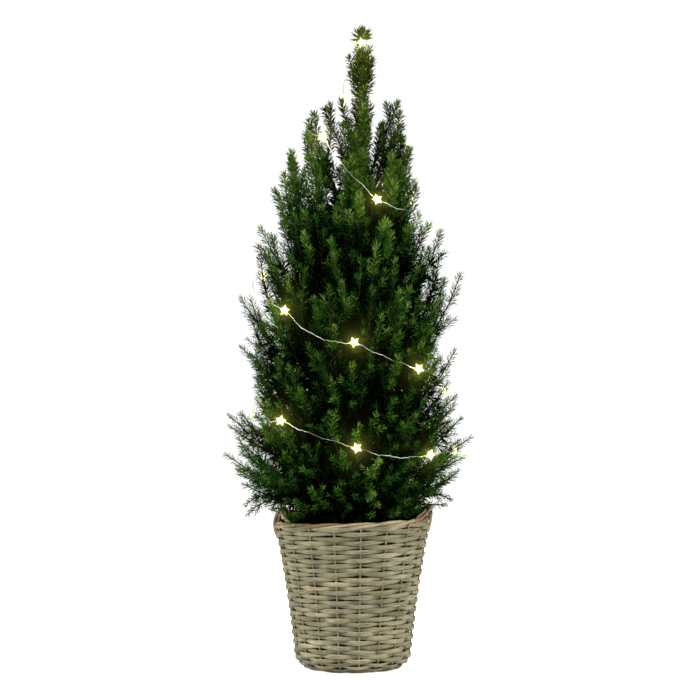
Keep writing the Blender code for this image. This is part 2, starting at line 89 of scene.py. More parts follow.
# Weave
ROW_PITCH = 0.00585  # along the wall from one rod to the next
ROD_HALF_HEIGHT = 0.00305
ROD_PINCH = 0.0013  # how much lower a rod is where it passes behind a stake
ROD_HALF_THICKNESS = 0.0009
ROD_SWING = 0.0018  # how far a rod swings out and in round the stakes
STAKE_RADIUS = 0.0012
FIRST_STAKE = math.radians(-84.0)
BASE_HOLE = 0.01  # radius of the base's middle, where the spokes cross
TOP_ROW_DROP = 0.0028  # of the uppermost rod's middle under the wall's top

# Trunk and crown, as the solids have them
TRUNK_TOP = 0.745
TRUNK_LEAN = 0.019
TRUNK_FOOT_RADIUS = 0.0085
TRUNK_TIP_RADIUS = 0.0022
ROOT_FLARE = 0.0055
ROOT_FLARE_HEIGHT = 0.016
OUTLINE = ((0.215, 0.122, 0.112), (0.255, 0.158, 0.142), (0.303, 0.163, 0.154),
           (0.35, 0.148, 0.137), (0.43, 0.147, 0.124), (0.5, 0.143, 0.138),
           (0.56, 0.122, 0.114), (0.59, 0.096, 0.08), (0.62, 0.104, 0.086),
           (0.668, 0.088, 0.083), (0.735, 0.052, 0.064))
LEADER_REACH = 0.019
CROWN_TOP = 0.84
STEM_RADIUS = 0.0026
STEM_RISE = 1.28  # power by which a stem rises along its reach
ODD_DROP = 0.024  # between neighbouring masses of a tier
TIP_DROP = 0.004  # of the tips under the masses' boundaries
LOWEST_FOOT = 0.208
# Each tier from the lowest up: height of its stems' feet, number of sectors, boughs in each mass
TIERS = ((0.212, 8, 12), (0.25, 8, 12), (0.32, 8, 12), (0.435, 8, 7), (0.595, 4, 4))
# Boundaries between the tiers: (height at the trunk, slope)
BOUNDARIES = ((0.186, 0.16), (0.228, 0.54), (0.282, 1.1), (0.39, 1.55), (0.545, 1.7),
              (0.722, 1.1))

# Tips that stand out of the crown at its two sides: (distance from the trunk's middle line towards
# +X, height), from the top down
STANDING_OUT = (
    (-0.026, 0.739), (0.048, 0.737), (0.013, 0.732), (-0.047, 0.728), (0.003, 0.715),
    (-0.07, 0.714), (0.028, 0.708), (0.065, 0.676), (-0.09, 0.663), (0.074, 0.626),
    (-0.111, 0.624), (-0.101, 0.58), (0.069, 0.572), (-0.077, 0.57), (0.11, 0.568),
    (-0.132, 0.551), (0.134, 0.514), (-0.151, 0.483), (-0.149, 0.42), (0.13, 0.415),
    (0.13, 0.346), (-0.164, 0.332), (0.151, 0.303), (-0.167, 0.281), (0.145, 0.277),
    (-0.148, 0.256), (0.12, 0.217),
)
OPEN_HEIGHT = 0.6  # above it the spires stand apart, with sky between them
# Boughs that hang by the ears: foot, bend and tip of each
HANGING = (((-0.02, 0.004, 0.216), (-0.112, 0.012, 0.232), (-0.136, -0.004, 0.199)),
           ((-0.02, -0.004, 0.218), (-0.108, -0.012, 0.24), (-0.137, -0.018, 0.214)),
           ((0.022, -0.004, 0.218), (0.1, -0.012, 0.236), (0.127, -0.01, 0.219)))

# Needles and twigs
SEED = 21
STATIONS = 7  # points along each bough or twig
NEEDLES_PER_METRE = 1500
TOP_PER_METRE = 2350  # in the upper crown
INNER_PER_METRE = 228  # behind a line's green end, where they are hidden
TWIG_PER_METRE = 2.6 * INNER_PER_METRE  # on the inner twigs
NEEDLE_LENGTH = 0.009
TOP_NEEDLE_LENGTH = 0.0114  # in the upper crown
TIP_NEEDLE_LENGTH = 0.013  # round the leader's tip
NEEDLE_WIDTH = 0.00076
TOP_NEEDLE_WIDTH = 0.0014
INNER_SWELL = 4.0  # the hidden needles are this many times as wide, to close the crown's inside with a dark, painted shade
SWOLLEN_HEIGHT = 0.56  # below it all the hidden needles are of the darkest shade, painted shade for the crown's inside
MOST_NEEDLES = 33000  # in one piece
YOUNG_FROM = 4  # the point of a bough from which its bark is young and brown
GREEN_LENGTH = 0.075  # of a bough, behind its tip; inside it the needles are old and dark, their darkness mostly painted shade
OUTER_GREEN_LENGTH = 0.105  # of a bough whose tip is further out than OUTER_SHARE of the reach
OUTER_SHARE = 0.93
NEEDLED_LENGTH = 0.155  # of a bough, behind its tip
TOP_NEEDLED_LENGTH = 0.085  # in the upper crown
SHOOT_START = 0.04  # share of a shoot from which it bears needles
SIDE_PLACES = (0.03, 0.046, 0.064, 0.085)  # distances of side shoots from a bough's tip
SPIRE_SHOOTS = 0.3  # share of the side shoots that the spires round the leader have
INNER_TWIGS = 215  # short dark twigs all along the trunk, whose needles are of the darkest, painted shade
UNDER_SHOOTS = 60  # short boughs that droop over the compost, whose needles are of the darkest, painted shade
LEADER_NECK = 0.74  # the leader is bare of shoots below this height
LEADER_SHOOTS = 15
LEADER_BUDS = 3
GOLDEN_SHARE = 0.618
GOLDEN_TURN = 2.399963
# A shoot's lean from upright, in degrees, at these heights: level low down, steep above.
LEAN_HEIGHTS = (0.2, 0.24, 0.3, 0.4, 0.5, 0.6, 0.75)
LEANS = (84.0, 62.0, 44.0, 30.0, 20.0, 10.0, 4.0)
# Needle shades from the darkest inside to the new growth, and olive: name, colour, sheen.
# The darker and the lit greens are painted shade and painted light on one green; the olive is
# in part the stars' warm light painted on.
NEEDLE_GREENS = (
    ("needles_inner_shade", (0.0003, 0.0034, 0.0002), 0.0),
    ("needles_shaded", (0.0018, 0.02, 0.0012), 0.02),
    ("needles_green", (0.01, 0.058, 0.0035), 0.04),
    ("needles_light_and_lit", (0.044, 0.118, 0.01), 0.08),
    ("needles_fresh", (0.12, 0.195, 0.028), 0.15),
    ("needles_olive", (0.03, 0.044, 0.0024), 0.04),
)
OLIVE = 5  # the shade of the leader and part of the spires round it, an olive that in part is the stars' warm light painted on
# A needle's root, its three corners and its tip, joined
NEEDLE_FACES = np.array([(0, 2, 1), (0, 3, 2), (0, 1, 3), (4, 1, 2), (4, 2, 3), (4, 3, 1)])

# String of lights: (degrees round from the front, height, sag of the wire to the next) of each
# star from the top down
STARS = (
    (358.8, 0.809, 0.000), (208.0, 0.744, 0.004), (324.9, 0.683, 0.005), (375.9, 0.603, 0.014),
    (468.5, 0.609, 0.006), (508.0, 0.575, 0.006), (555.0, 0.54, 0.006), (605.0, 0.51, -0.006),
    (679.6, 0.462, 0.013), (718.6, 0.422, 0.003), (759.3, 0.389, 0.002),
    (828.4, 0.36, 0.006), (864.0, 0.352, 0.006), (900.0, 0.345, 0.006), (936.0, 0.339, 0.006),
    (970.4, 0.331, 0.004), (1040.0, 0.324, 0.001), (1081.0, 0.291, 0.007), (1124.5, 0.281, -0.002),
    (1174.0, 0.281, 0.006), (1212.0, 0.272, 0.006), (1254.0, 0.264, 0.006), (1296.0, 0.257, 0.0),
)
STAR_RADIUS = 0.0076
STAR_WAIST = 0.46  # radius between two arms, as a share of the radius at their tips
STAR_DEPTH = 0.0024
STAR_EMISSION = 9.0
STAR_WATTS = 0.065  # of the lamp in each star
STAR_COLOUR = (0.95, 0.92, 0.12)
STAR_LAMP_SIZE = 0.006
WIRE_RADIUS = 0.00022
WIRE_LAY = 0.006  # length in which the two strands turn once round each other

# Studio: name, place, target, size and watts of each soft lamp
LAMPS = (
    ("key", (-2.6, -0.9, 1.7), (0.0, 0.0, 0.32), 1.0, 112.0),
    ("fill", (2.6, -0.9, 1.4), (0.0, 0.0, 0.3), 1.0, 98.0),
    ("top", (0.0, -0.9, 2.7), (0.0, 0.0, 0.3), 1.1, 75.0),
)
FLOOR_LEVELS = (0.0, 0.86)  # how bright it lights the plant, and how bright it shows
SKY_LEVELS = (0.12, 1.05)
# The stars' halo. Its threshold is brighter than the lit floor
HALO = {"Threshold": 3.5, "Strength": 1.5, "Size": 0.09, "Tint": (0.92, 1.0, 0.3, 1.0)}
CAMERA_PLACE = (-0.0061, -2.99, 0.415)
SENSOR_WIDTH = 36.0  # millimetres
PICTURE_PIXELS = 696.0  # width of the picture
FOCAL_PIXELS = 2300.0  # focal length


# Arrays and meshes


def unit(vectors):
    """Vectors divided by their lengths."""
    return vectors / np.linalg.norm(vectors, axis=-1, keepdims=True)


def outward(angle):
    """Level unit vectors at compass angles."""
    return np.stack([np.cos(angle), np.sin(angle), np.zeros_like(angle)], axis=-1)


def even_angles(count):
    """Angles evenly spaced round a circle."""
    return np.arange(count) * TAU / count


def between(first, second, angle):
    """Unit vectors turned by an angle from the first ones towards the second."""
    angle = np.asarray(angle)[..., None]
    return np.cos(angle) * first + np.sin(angle) * second


def ring_points(radius, angle, z):
    """Points at radii from the upright axis, compass angles and heights."""
    radius, angle, z = np.broadcast_arrays(radius, angle, z)
    return radius[..., None] * outward(angle) + z[..., None] * UP


def wobble(t, rng, waves, size):
    """A smooth closed wave round the angle t: sines of 1 to `waves` turns with random phases."""
    turns = np.arange(1, waves + 1)
    phases = rng.uniform(0.0, TAU, waves)
    return size * np.sin(t[..., None] * turns + phases).sum(axis=-1) / math.sqrt(waves)


def layered_noise(u, v, layers, rng):
    """Noise at places u and v from 0 to 1, closed on itself both ways. Each layer is (size, rows,
    columns): random values up to `size` at the corners of a lattice, joined by smooth steps."""
    total = 0.0
    for size, rows, columns in layers:
        lattice = rng.uniform(-1.0, 1.0, (rows, columns))
        i, j = np.floor(u * rows).astype(int), np.floor(v * columns).astype(int)
        a, b = u * rows - i, v * columns - j
        a, b = a * a * (3.0 - 2.0 * a), b * b * (3.0 - 2.0 * b)
        for row, across_rows in ((i, 1.0 - a), (i + 1, a)):
            for column, across_columns in ((j, 1.0 - b), (j + 1, b)):
                total = total + size * across_rows * across_columns * lattice[row % rows, column % columns]
    return total


def grid_faces(rows, columns, ring_rows=False):
    """Triangles over a grid of points kept row by row and closed round its columns, and each
    corner's place from 0 to 1 along the rows and the columns. ring_rows closes the rows too."""
    row_steps = rows if ring_rows else rows - 1
    i, j = np.meshgrid(np.arange(row_steps), np.arange(columns), indexing="ij")
    corners = [(0, 0), (0, 1), (1, 1), (0, 0), (1, 1), (1, 0)]
    faces = [(i + a) % rows * columns + (j + b) % columns for a, b in corners]
    places = [np.stack([(i + a) / row_steps, (j + b) / columns], -1) for a, b in corners]
    faces = np.stack(faces, -1).reshape(-1, 3)
    return faces, np.stack(places, -2).reshape(-1, 3, 2)


def closed_skin(rings, first, last):
    """Points and triangles of rings of points, closed by fans round a first and a last point."""
    rows, columns = rings.shape[:2]
    faces, _ = grid_faces(rows, columns)
    j, hub = np.arange(columns), np.full(columns, rows * columns)
    after, end = (j + 1) % columns, (rows - 1) * columns
    fans = [np.stack([after, j, hub], -1), np.stack([end + j, end + after, hub + 1], -1)]
    return np.concatenate([rings.reshape(-1, 3), [first, last]]), np.concatenate([faces, *fans])


def repeated(faces, points_each, count):
    """The same faces for each of `count` shapes whose points follow one another."""
    starts = np.arange(count) * points_each
    return (starts[:, None, None] + faces[None]).reshape(-1, faces.shape[1])


def add_object(name, data, place=(0.0, 0.0, 0.0)):
    """An object in the scene for a mesh, a lamp or a lens."""
    obj = bpy.data.objects.new(name, data)
    obj.location = place
    bpy.context.scene.collection.objects.link(obj)
    return obj


def packed(values, kind=np.float32):
    """Values in one plain row, as a mesh takes them."""
    return np.ascontiguousarray(values, kind).ravel()


def piece(name, points, faces, look, smooth=True, uv=None, tone=None):
    """An object at the origin from points and triangles. uv is a pair for each corner, and tone a
    number for each point, which some looks read as a shade."""
    points, faces = packed(points), packed(faces, np.int32)
    mesh = bpy.data.meshes.new(name)
    mesh.vertices.add(len(points) // 3)
    mesh.vertices.foreach_set("co", points)
    mesh.loops.add(len(faces))
    mesh.loops.foreach_set("vertex_index", faces)
    mesh.polygons.add(len(faces) // 3)
    mesh.polygons.foreach_set("loop_start", np.arange(0, len(faces), 3, dtype=np.int32))
    mesh.polygons.foreach_set("use_smooth", np.full(len(faces) // 3, smooth))
    if uv is not None:
        mesh.uv_layers.new(name="UVMap").data.foreach_set("uv", packed(uv))
    if tone is not None:
        mesh.attributes.new("tone", "FLOAT", "POINT").data.foreach_set("value", packed(tone))
    mesh.update(calc_edges=True)
    mesh.materials.append(look)
    obj = add_object(name, mesh)
    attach(obj, "root")
    return obj


def across(paths, ring=False):
    """Unit vectors along paths (count, stations, 3), and two across them, the first level."""
    if ring:
        steps = np.roll(paths, -1, axis=1) - np.roll(paths, 1, axis=1)
    else:
        steps = np.gradient(paths, axis=1)
    along = unit(steps)
    side = np.cross(along, UP)
    side[np.linalg.norm(side, axis=-1) < 1e-3] = (1.0, 0.0, 0.0)
    side = unit(side - along * (side * along).sum(axis=-1, keepdims=True))
    return along, side, np.cross(side, along)


def tubes(paths, radii, sides, ring=False):
    """Points, triangles and corner places of round tubes along many paths at once.

    The surface is path + radius * (cos a * side + sin a * over), with a the angle round the
    tube. A tube that is no ring is closed by a flat end at each side."""
    count, stations = paths.shape[:2]
    _, side, over = across(paths, ring)
    spokes = between(side[:, :, None], over[:, :, None], even_angles(sides))
    points = paths[:, :, None] + np.asarray(radii)[..., None, None] * spokes
    faces, places = grid_faces(stations, sides, ring_rows=ring)
    if not ring:
        j = np.arange(1, sides - 1)
        start = np.stack([0 * j, j + 1, j], -1)
        end = (stations - 1) * sides + np.stack([0 * j, j, j + 1], -1)
        faces = np.concatenate([faces, start, end])
        places = np.concatenate([places, np.zeros((len(start) * 2, 3, 2))])
    return points, repeated(faces, stations * sides, count), np.tile(places, (count, 1, 1))


def twisted_pair(line, sway, turn):
    """Two paths turned round a line, opposite each other and `sway` away from it."""
    _, side, over = across(line)
    sway = np.asarray(sway)[..., None]
    return [line + sway * between(side, over, turn + phase) for phase in (0.0, math.pi)]


def smoothed(values, width):
    """A running mean over an odd width, with the ends held."""
    padded = np.pad(values, width // 2, mode="edge")
    return np.convolve(padded, np.ones(width) / width, mode="valid")


def hand_tilt(points):
    """The basket leans: height grows a little towards +X, and not at the foot."""
    tilted = points.copy()
    tilted[..., 2] += HAND_TILT * points[..., 0] * points[..., 2] / WALL_TOP
    return tilted


# Finishes


def set_sockets(node, **values):
    """Inputs of a node by name, with underscores for spaces: a value is set and a socket linked."""
    for name, value in values.items():
        socket = node.inputs[name.replace("_", " ")]
        if isinstance(value, bpy.types.NodeSocket):
            node.id_data.links.new(value, socket)
        else:
            socket.default_value = value


def finish(name, roughness, colour=(0.5, 0.5, 0.5), specular=0.5, metallic=0.0):
    """A material with its node tree and its shader."""
    made = bpy.data.materials.new(name)
    made.use_nodes = True
    shader = made.node_tree.nodes["Principled BSDF"]
    set_sockets(shader, Base_Color=(*colour, 1.0), Roughness=roughness, Specular_IOR_Level=specular,
                Metallic=metallic)
    return made, made.node_tree, shader


def add_node(tree, kind, **values):
    """A node with its sockets set by name."""
    made = tree.nodes.new("ShaderNode" + kind)
    set_sockets(made, **values)
    return made


def grain(tree, place, scale, detail, stretch=(1.0, 1.0, 1.0)):
    """Noise on a place socket, stretched by a mapping."""
    mapping = add_node(tree, "Mapping", Vector=place, Scale=stretch)
    noise = add_node(tree, "TexNoise", Vector=mapping.outputs["Vector"], Scale=scale, Detail=detail,
                     Roughness=0.6)
    return noise.outputs["Fac"]


def ramp(tree, value, stops):
    """Colours along a value: stops are (place, colour)."""
    made = add_node(tree, "ValToRGB", Fac=value)
    band = made.color_ramp
    while len(band.elements) < len(stops):
        band.elements.new(0.5)
    for element, (place, colour) in zip(band.elements, stops):
        element.position = place
        element.color = (*colour, 1.0)
    return made.outputs["Color"]


def product(tree, first, second):
    """Two colours multiplied."""
    made = tree.nodes.new("ShaderNodeMix")
    made.data_type = "RGBA"
    made.blend_type = "MULTIPLY"
    set_sockets(made, Factor=1.0, A=first, B=second)
    return made.outputs["Result"]


def relief(tree, height, strength, depth):
    """Normals of the relief that a value makes."""
    bump = add_node(tree, "Bump", Height=height, Strength=strength, Distance=depth)
    return bump.outputs["Normal"]


def own_tone(tree):
    """The shade that each point of a piece carries."""
    made = tree.nodes.new("ShaderNodeAttribute")
    made.attribute_name = "tone"
    return made.outputs["Fac"]


def rod_finish(name, tones, roughness, length, girth):
    """Willow with a shade for each stretch, grooves along it and stains. The grooves darken the
    colour and their ridges brighten it, partly the willow's own streaks and partly painted shade in
    the grooves and painted highlights on the ridges. length and girth are how many grains fit along
    and round a rod."""
    made, tree, shader = finish(name, roughness, specular=0.35)
    place = add_node(tree, "TexCoord")
    body = ramp(tree, own_tone(tree), tones)
    grooves = grain(tree, place.outputs["UV"], 1.0, 3.0, (length, girth, 1.0))
    # Streaks along the rod, with painted shade in the grooves and painted highlights on the ridges.
    streaks_shade_and_sheen = ramp(tree, grooves, ((0.3, (0.3, 0.29, 0.26)), (0.5, (0.92, 0.92, 0.9)),
                                (0.75, (1.28, 1.26, 1.18))))
    stains = grain(tree, place.outputs["Object"], 34.0, 3.0)
    dull = ramp(tree, stains, ((0.34, (0.72, 0.72, 0.72)), (0.62, (1.06, 1.06, 1.04))))
    colour = product(tree, product(tree, body, streaks_shade_and_sheen), dull)
    set_sockets(shader, Base_Color=colour, Normal=relief(tree, grooves, 0.8, 0.0006))
    return made


def grained_finish(name, stops, roughness, specular, scale, detail, stretch=(1.0, 1.0, 1.0),
                   bump=None, metallic=0.0):
    """Colours along a noise. bump is the strength and the depth of the relief that it makes."""
    made, tree, shader = finish(name, roughness, specular=specular, metallic=metallic)
    spots = grain(tree, add_node(tree, "TexCoord").outputs["Object"], scale, detail, stretch)
    set_sockets(shader, Base_Color=ramp(tree, spots, stops))
    if bump:
        set_sockets(shader, Normal=relief(tree, spots, *bump))
    return made


def compost_finish():
    """Dark crumbs."""
    return grained_finish("moist_compost", ((0.35, (0.008, 0.005, 0.003)), (0.7, (0.06, 0.036, 0.02))),
                          0.95, 0.2, 420.0, 4.0, bump=(1.0, 0.001))


def bark_finish():
    """Brown scales, longer than wide."""
    stops = ((0.3, (0.05, 0.03, 0.018)), (0.55, (0.15, 0.092, 0.052)), (0.8, (0.26, 0.18, 0.115)))
    return grained_finish("scaly_bark", stops, 0.88, 0.25, 160.0, 4.0, (1.0, 1.0, 0.35), (0.9, 0.0008))


def twig_finish(name, dark, light):
    """Thin bark with small spots, greener and darker low in the crown as a painted shade."""
    made, tree, shader = finish(name, 0.8, specular=0.08)
    place = add_node(tree, "TexCoord").outputs["Object"]
    spots = ramp(tree, grain(tree, place, 240.0, 3.0), ((0.3, dark), (0.7, light)))
    height = add_node(tree, "SeparateXYZ", Vector=place).outputs["Z"]
    # Painted shade: the bark is darker and greener low in the crown.
    painted_low_shade = ramp(tree, height, ((0.46, (0.24, 0.34, 0.2)), (0.66, (1.0, 1.0, 1.0))))
    set_sockets(shader, Base_Color=product(tree, spots, painted_low_shade))
    return made


def wire_finish():
    """Bright metal whose colour has dark and bright patches, a painted reflection of now the lights
    and now the crown.
    """
    # Painted reflection: dark and bright patches in the base colour.
    return grained_finish("silver_wire", ((0.36, (0.1, 0.11, 0.09)), (0.62, (0.95, 0.95, 0.88))),
                          0.3, 0.5, 34.0, 2.0, metallic=0.8)


def star_finish():
    """Light that is nearly white at a star's heart and a deeper yellow out at its arms."""
    made, tree, shader = finish("lit_star", 0.35, (0.05, 0.045, 0.02), specular=0.1)
    warmth = ramp(tree, own_tone(tree), (
        (0.05, (0.13, 0.125, 0.026)), (0.35, (0.26, 0.245, 0.08)), (0.75, (0.8, 0.78, 0.5))))
    set_sockets(shader, Emission_Color=warmth, Emission_Strength=STAR_EMISSION)
    return made


# Basket


def wall_radius(z):
    """Outer radius of the wall, a curve that flares towards the rim."""
    return WALL_FOOT_RADIUS + WALL_FLARE * z + WALL_CURVE * z * z


def basket_profile():
    """Radius and height of the outer surface against the length along it, from the middle of the
    base out to the foot, through the rounded corner and up the wall."""
    z = np.linspace(0.0, WALL_TOP + 0.004, 800)
    drop = np.clip(1.0 - z / CORNER_HEIGHT, 0.0, 1.0)
    side = wall_radius(CORNER_HEIGHT)
    corner = FOOT_RADIUS + (side - FOOT_RADIUS) * (1.0 - drop ** 2.0) ** 0.62
    radius = np.where(z < CORNER_HEIGHT, corner, wall_radius(z))
    base = np.linspace(0.0, FOOT_RADIUS, 80)[:-1]
    radius = np.append(base, radius)
    z = np.append(0.0 * base, z)
    length = np.append(0.0, np.cumsum(np.hypot(np.diff(radius), np.diff(z))))
    return length, radius, z


PROFILE = basket_profile()


def in_wall(s, t, depth):
    """Points at lengths s along the basket's profile and compass angles t, at a depth straight in
    from the outer surface."""
    length, radius, z = PROFILE
    step = 0.0015
    out = np.interp(s + step, length, radius) - np.interp(s - step, length, radius)
    up = np.interp(s + step, length, z) - np.interp(s - step, length, z)
    size = np.hypot(out, up)
    radius = np.interp(s, length, radius) - depth * up / size
    return hand_tilt(ring_points(radius, t, np.interp(s, length, z) + depth * out / size))


def side_radius(z):
    """Outer radius of corner and wall at a height above the base."""
    _, radius, height = PROFILE
    wall = height > 0.0
    return np.interp(z, height[wall], radius[wall])


def stretch_tones(rows, stations, stretches, rng):
    """A shade from 0 to 1 for each stretch of each rod, with a short change between them."""
    shade = np.clip(rng.normal(0.5, 0.2, (rows, stretches)), 0.0, 1.0)
    place = np.arange(stations) / stations * stretches
    whole = np.floor(place).astype(int)
    share = np.clip((place - whole) * 6.0 - 5.0, 0.0, 1.0)
    return shade[:, whole % stretches] * (1.0 - share) + shade[:, (whole + 1) % stretches] * share


def make_weave(rng):
    """Rods woven before one stake and behind the next, in rings from the base to the rim.

    With t the angle round the basket, a the angle round the rod's section, s_n the place of row n
    on the profile and c = cos(9 (t - t0) + pi n), which is 1 before a stake and -1 behind one, a
    point lies at s_n + H * sin(a) along the profile and, from the outer surface inwards, at
    T * (1 - f) + W * (1 - c), with f the signed power cos(a)^0.6. The half height H is pinched by
    P * (max(0, -c)^4 - 0.06 c), and slow waves round the basket shift s_n and change H and T."""
    stations, sides = 288, 8
    first, last = BASE_HOLE + 0.5 * ROW_PITCH, PROFILE[0][-1] - TOP_ROW_DROP
    count = round((last - first) / ROW_PITCH) + 1
    rows = np.linspace(first, last, count)[:, None, None]
    t = (even_angles(stations) + 0.5 * math.pi)[:, None]
    a = even_angles(sides)
    n = np.arange(count)[:, None, None]
    swing = np.cos(0.5 * STAKES * (t - FIRST_STAKE) + math.pi * n)
    pinch = np.maximum(0.0, -swing) ** 4.0 - 0.06 * swing
    drift, swell, depth = (
        np.stack([wobble(even_angles(stations), rng, waves, size) for _ in range(count)])[..., None]
        for waves, size in ((7, 0.00055), (24, 0.12), (14, 0.22)))
    height = (ROD_HALF_HEIGHT - ROD_PINCH * pinch) * (1.0 + swell)
    flat = np.sign(np.cos(a)) * np.abs(np.cos(a)) ** 0.6
    s = rows + drift + height * np.sin(a)
    depth = ROD_HALF_THICKNESS * (1.0 + depth) * (1.0 - flat) + ROD_SWING * (1.0 - swing)
    points = in_wall(s, t, depth)
    faces, corner_places = grid_faces(stations, sides, ring_rows=True)
    uv = corner_places + rng.uniform(0.0, 8.0, (count, 1, 1, 2))
    tone = stretch_tones(count, stations, STAKES // 2, rng)[..., None]
    return piece("woven_wall", points, repeated(faces[:, ::-1], stations * sides, count),
                 WILLOW, uv=uv[:, :, ::-1], tone=np.broadcast_to(tone, s.shape))


def make_stakes(rng):
    """Upright stakes inside the front rods and outside the back ones, from spokes in the base."""
    s = np.linspace(BASE_HOLE, PROFILE[0][-1], 60)[None, :]
    angles = FIRST_STAKE + even_angles(STAKES)[:, None]
    paths = in_wall(s, angles, 2.0 * ROD_HALF_THICKNESS + STAKE_RADIUS)
    points, faces, uv = tubes(paths, STAKE_RADIUS, 8)
    tone = np.broadcast_to(rng.uniform(0.55, 0.95, (STAKES, 1, 1)), points.shape[:3])
    return piece("stakes", points, faces, WILLOW, uv=uv, tone=tone)


def round_rods(name, paths, radii, sides, stretches, rng, ring=False):
    """Round willow rods along paths, with a shade for each stretch of each rod."""
    points, faces, uv = tubes(paths, radii, sides, ring)
    tone = stretch_tones(*paths.shape[:2], stretches, rng)[..., None]
    return piece(name, points, faces, BORDER_WILLOW, uv=uv,
                 tone=np.broadcast_to(tone, points.shape[:3]))


def make_border(rng):
    """Three rods laid round the rim as one rope. As each turns 14/3 times round the rope's middle
    in one lap, the three are one line that closes after three laps."""
    stations, laps, turns = 900, 3, 14
    t = even_angles(stations) * laps
    turn = t * turns / laps
    sway = BORDER_SWAY * (1.0 + wobble(t / laps, rng, 9, 0.1))
    radius = BORDER_RADIUS + sway * np.cos(turn) + wobble(t, rng, 5, 0.0004)
    z = BORDER_HEIGHT + sway * np.sin(turn) + wobble(t, rng, 5, 0.0005)
    path = hand_tilt(ring_points(radius, t, z))[None]
    radii = BORDER_ROD_RADIUS * (1.0 + wobble(t / laps, rng, 12, 0.1))
    return round_rods("laid_border", path, radii, 14, 11, rng, ring=True)


def make_foot_hoop(rng):
    """Two rods turned round each other where the wall meets the base, one line that closes after
    two laps. Each turns 5.5 times round their middle in one lap."""
    stations, laps, turns = 360, 2, 11
    t = even_angles(stations) * laps
    turn = t * turns / laps
    radius = HOOP_RADIUS + HOOP_SWAY * np.cos(turn) + wobble(t, rng, 5, 0.0003)
    z = HOOP_HEIGHT + HOOP_SWAY * np.sin(turn) + wobble(t, rng, 5, 0.0002)
    radii = HOOP_ROD_RADIUS * (1.0 + wobble(t / laps, rng, 12, 0.05))
    return round_rods("foot_hoop", ring_points(radius, t, z)[None], radii, 10, 9, rng, ring=True)


def make_ear(side, middle, rng):
    """Two rods twisted round each other that sweep up out of the border to an arch and down into it
    again, and two rods that bind the arch's top to the wall. With s the share of the arch, it
    stands at the angle m - h cos(pi s) and rises by sin(pi s) to the ear's own power."""
    stations = 90
    s = np.linspace(0.0, 1.0, stations)
    rise = np.sin(math.pi * s) ** EAR_PEAK[side]
    angle = middle - EAR_HALF_SPAN * np.cos(math.pi * s)
    z = BORDER_HEIGHT + 0.001 + (EAR_TOP - 0.0065 - BORDER_HEIGHT) * rise
    radius = BORDER_RADIUS + 0.001 - EAR_LEAN[side] * rise
    sway = EAR_SWAY * np.minimum(1.0, 6.0 * np.minimum(s, 1.0 - s)) + 0.0004
    rods = twisted_pair(hand_tilt(ring_points(radius, angle, z))[None], sway, TAU * EAR_TURNS * s)
    for number, knots in enumerate(EAR_TIES[side]):
        places = np.linspace(0.0, 1.0, len(knots))
        radius, z = (smoothed(np.interp(s, places, part), 15) for part in zip(*knots))
        angle = middle + 0.035 * (2 * number - 1) + 0.03 * np.sin(3.0 * math.pi * s)
        rods.append(hand_tilt(ring_points(radius, angle, z))[None])
    waves = wobble((s + 3.0 * np.arange(4)[:, None]) * 5.0, rng, 6, 0.07)
    radii = np.array(EAR_ROD_RADII)[:, None] * (1.0 + waves)
    return round_rods("twisted_ear_" + side, np.concatenate(rods), radii, 12, 3, rng)


def make_compost(rng):
    """The compost. With q the share of the way out and t the angle, its top is a low mound with
    crumbs as noise; its side follows the wall inside the weave down to the base."""
    columns, top_rows = 150, 60
    t = even_angles(columns)
    q = (np.arange(top_rows) + 0.5)[:, None] / top_rows
    inside = 2.0 * ROD_HALF_THICKNESS + 2.0 * ROD_SWING + 0.0015
    edge = wall_radius(SOIL_TOP) - inside
    u, v = np.broadcast_arrays(t / TAU, q)
    crumbs = layered_noise(u, v, ((0.0016, 70, 22), (0.0009, 140, 50)), rng)
    z = SOIL_TOP - 0.004 * q ** 3 + crumbs * (0.3 + 0.7 * q)
    down = np.linspace(SOIL_TOP - 0.006, COMPOST_FOOT, 24)[:, None]
    rings = [ring_points(q * edge, t, z), ring_points(side_radius(down) - inside, t, down)]
    points, faces = closed_skin(hand_tilt(np.concatenate(rings)), (0, 0, SOIL_TOP), (0, 0, COMPOST_FOOT))
    return piece("compost_fill", points, faces[:, ::-1], compost_finish())


# Trunk and crown


def placed(height, reach, angle):
    """Points at heights, distances from the trunk's middle line and compass angles."""
    points = ring_points(reach, angle, height)
    points[..., 0] += TRUNK_LEAN * (points[..., 2] - SOIL_TOP)
    return points


def trunk_axis(z):
    """Points of the trunk's middle line, which leans towards +X."""
    return placed(z, 0.0, 0.0)


def trunk_radius(z):
    """Taper from the foot to the tip, with the root flare added near the ground."""
    share = np.clip((z - SOIL_TOP) / (TRUNK_TOP - SOIL_TOP), 0.0, 1.0)
    limb = TRUNK_FOOT_RADIUS + (TRUNK_TIP_RADIUS - TRUNK_FOOT_RADIUS) * share ** 0.85
    return limb + ROOT_FLARE * np.exp(-(z - SOIL_TOP) / ROOT_FLARE_HEIGHT * 2.0)


def make_trunk(rng):
    """Bark: radius(z) times 1 + ridges, with long ridges and short scales as noise."""
    rows, columns = 460, 36
    z = np.linspace(SOIL_TOP - 0.004, TRUNK_TOP + 0.002, rows)[:, None]
    t = even_angles(columns)
    u, v = np.broadcast_arrays((z - z.min()) / (z.max() - z.min()), t / TAU)
    ridges = layered_noise(u, v, ((0.07, 90, 9), (0.05, 240, 16)), rng)
    rings = placed(z, trunk_radius(z) * (1.0 + ridges), t)
    points, faces = closed_skin(rings, *trunk_axis(z[[0, -1], 0]))
    return piece("trunk_bark", points, faces, bark_finish())


def outline_at(z):
    """The crown's reach towards -X and towards +X at heights z."""
    heights, left, right = zip(*OUTLINE)
    return np.interp(z, heights, left), np.interp(z, heights, right)


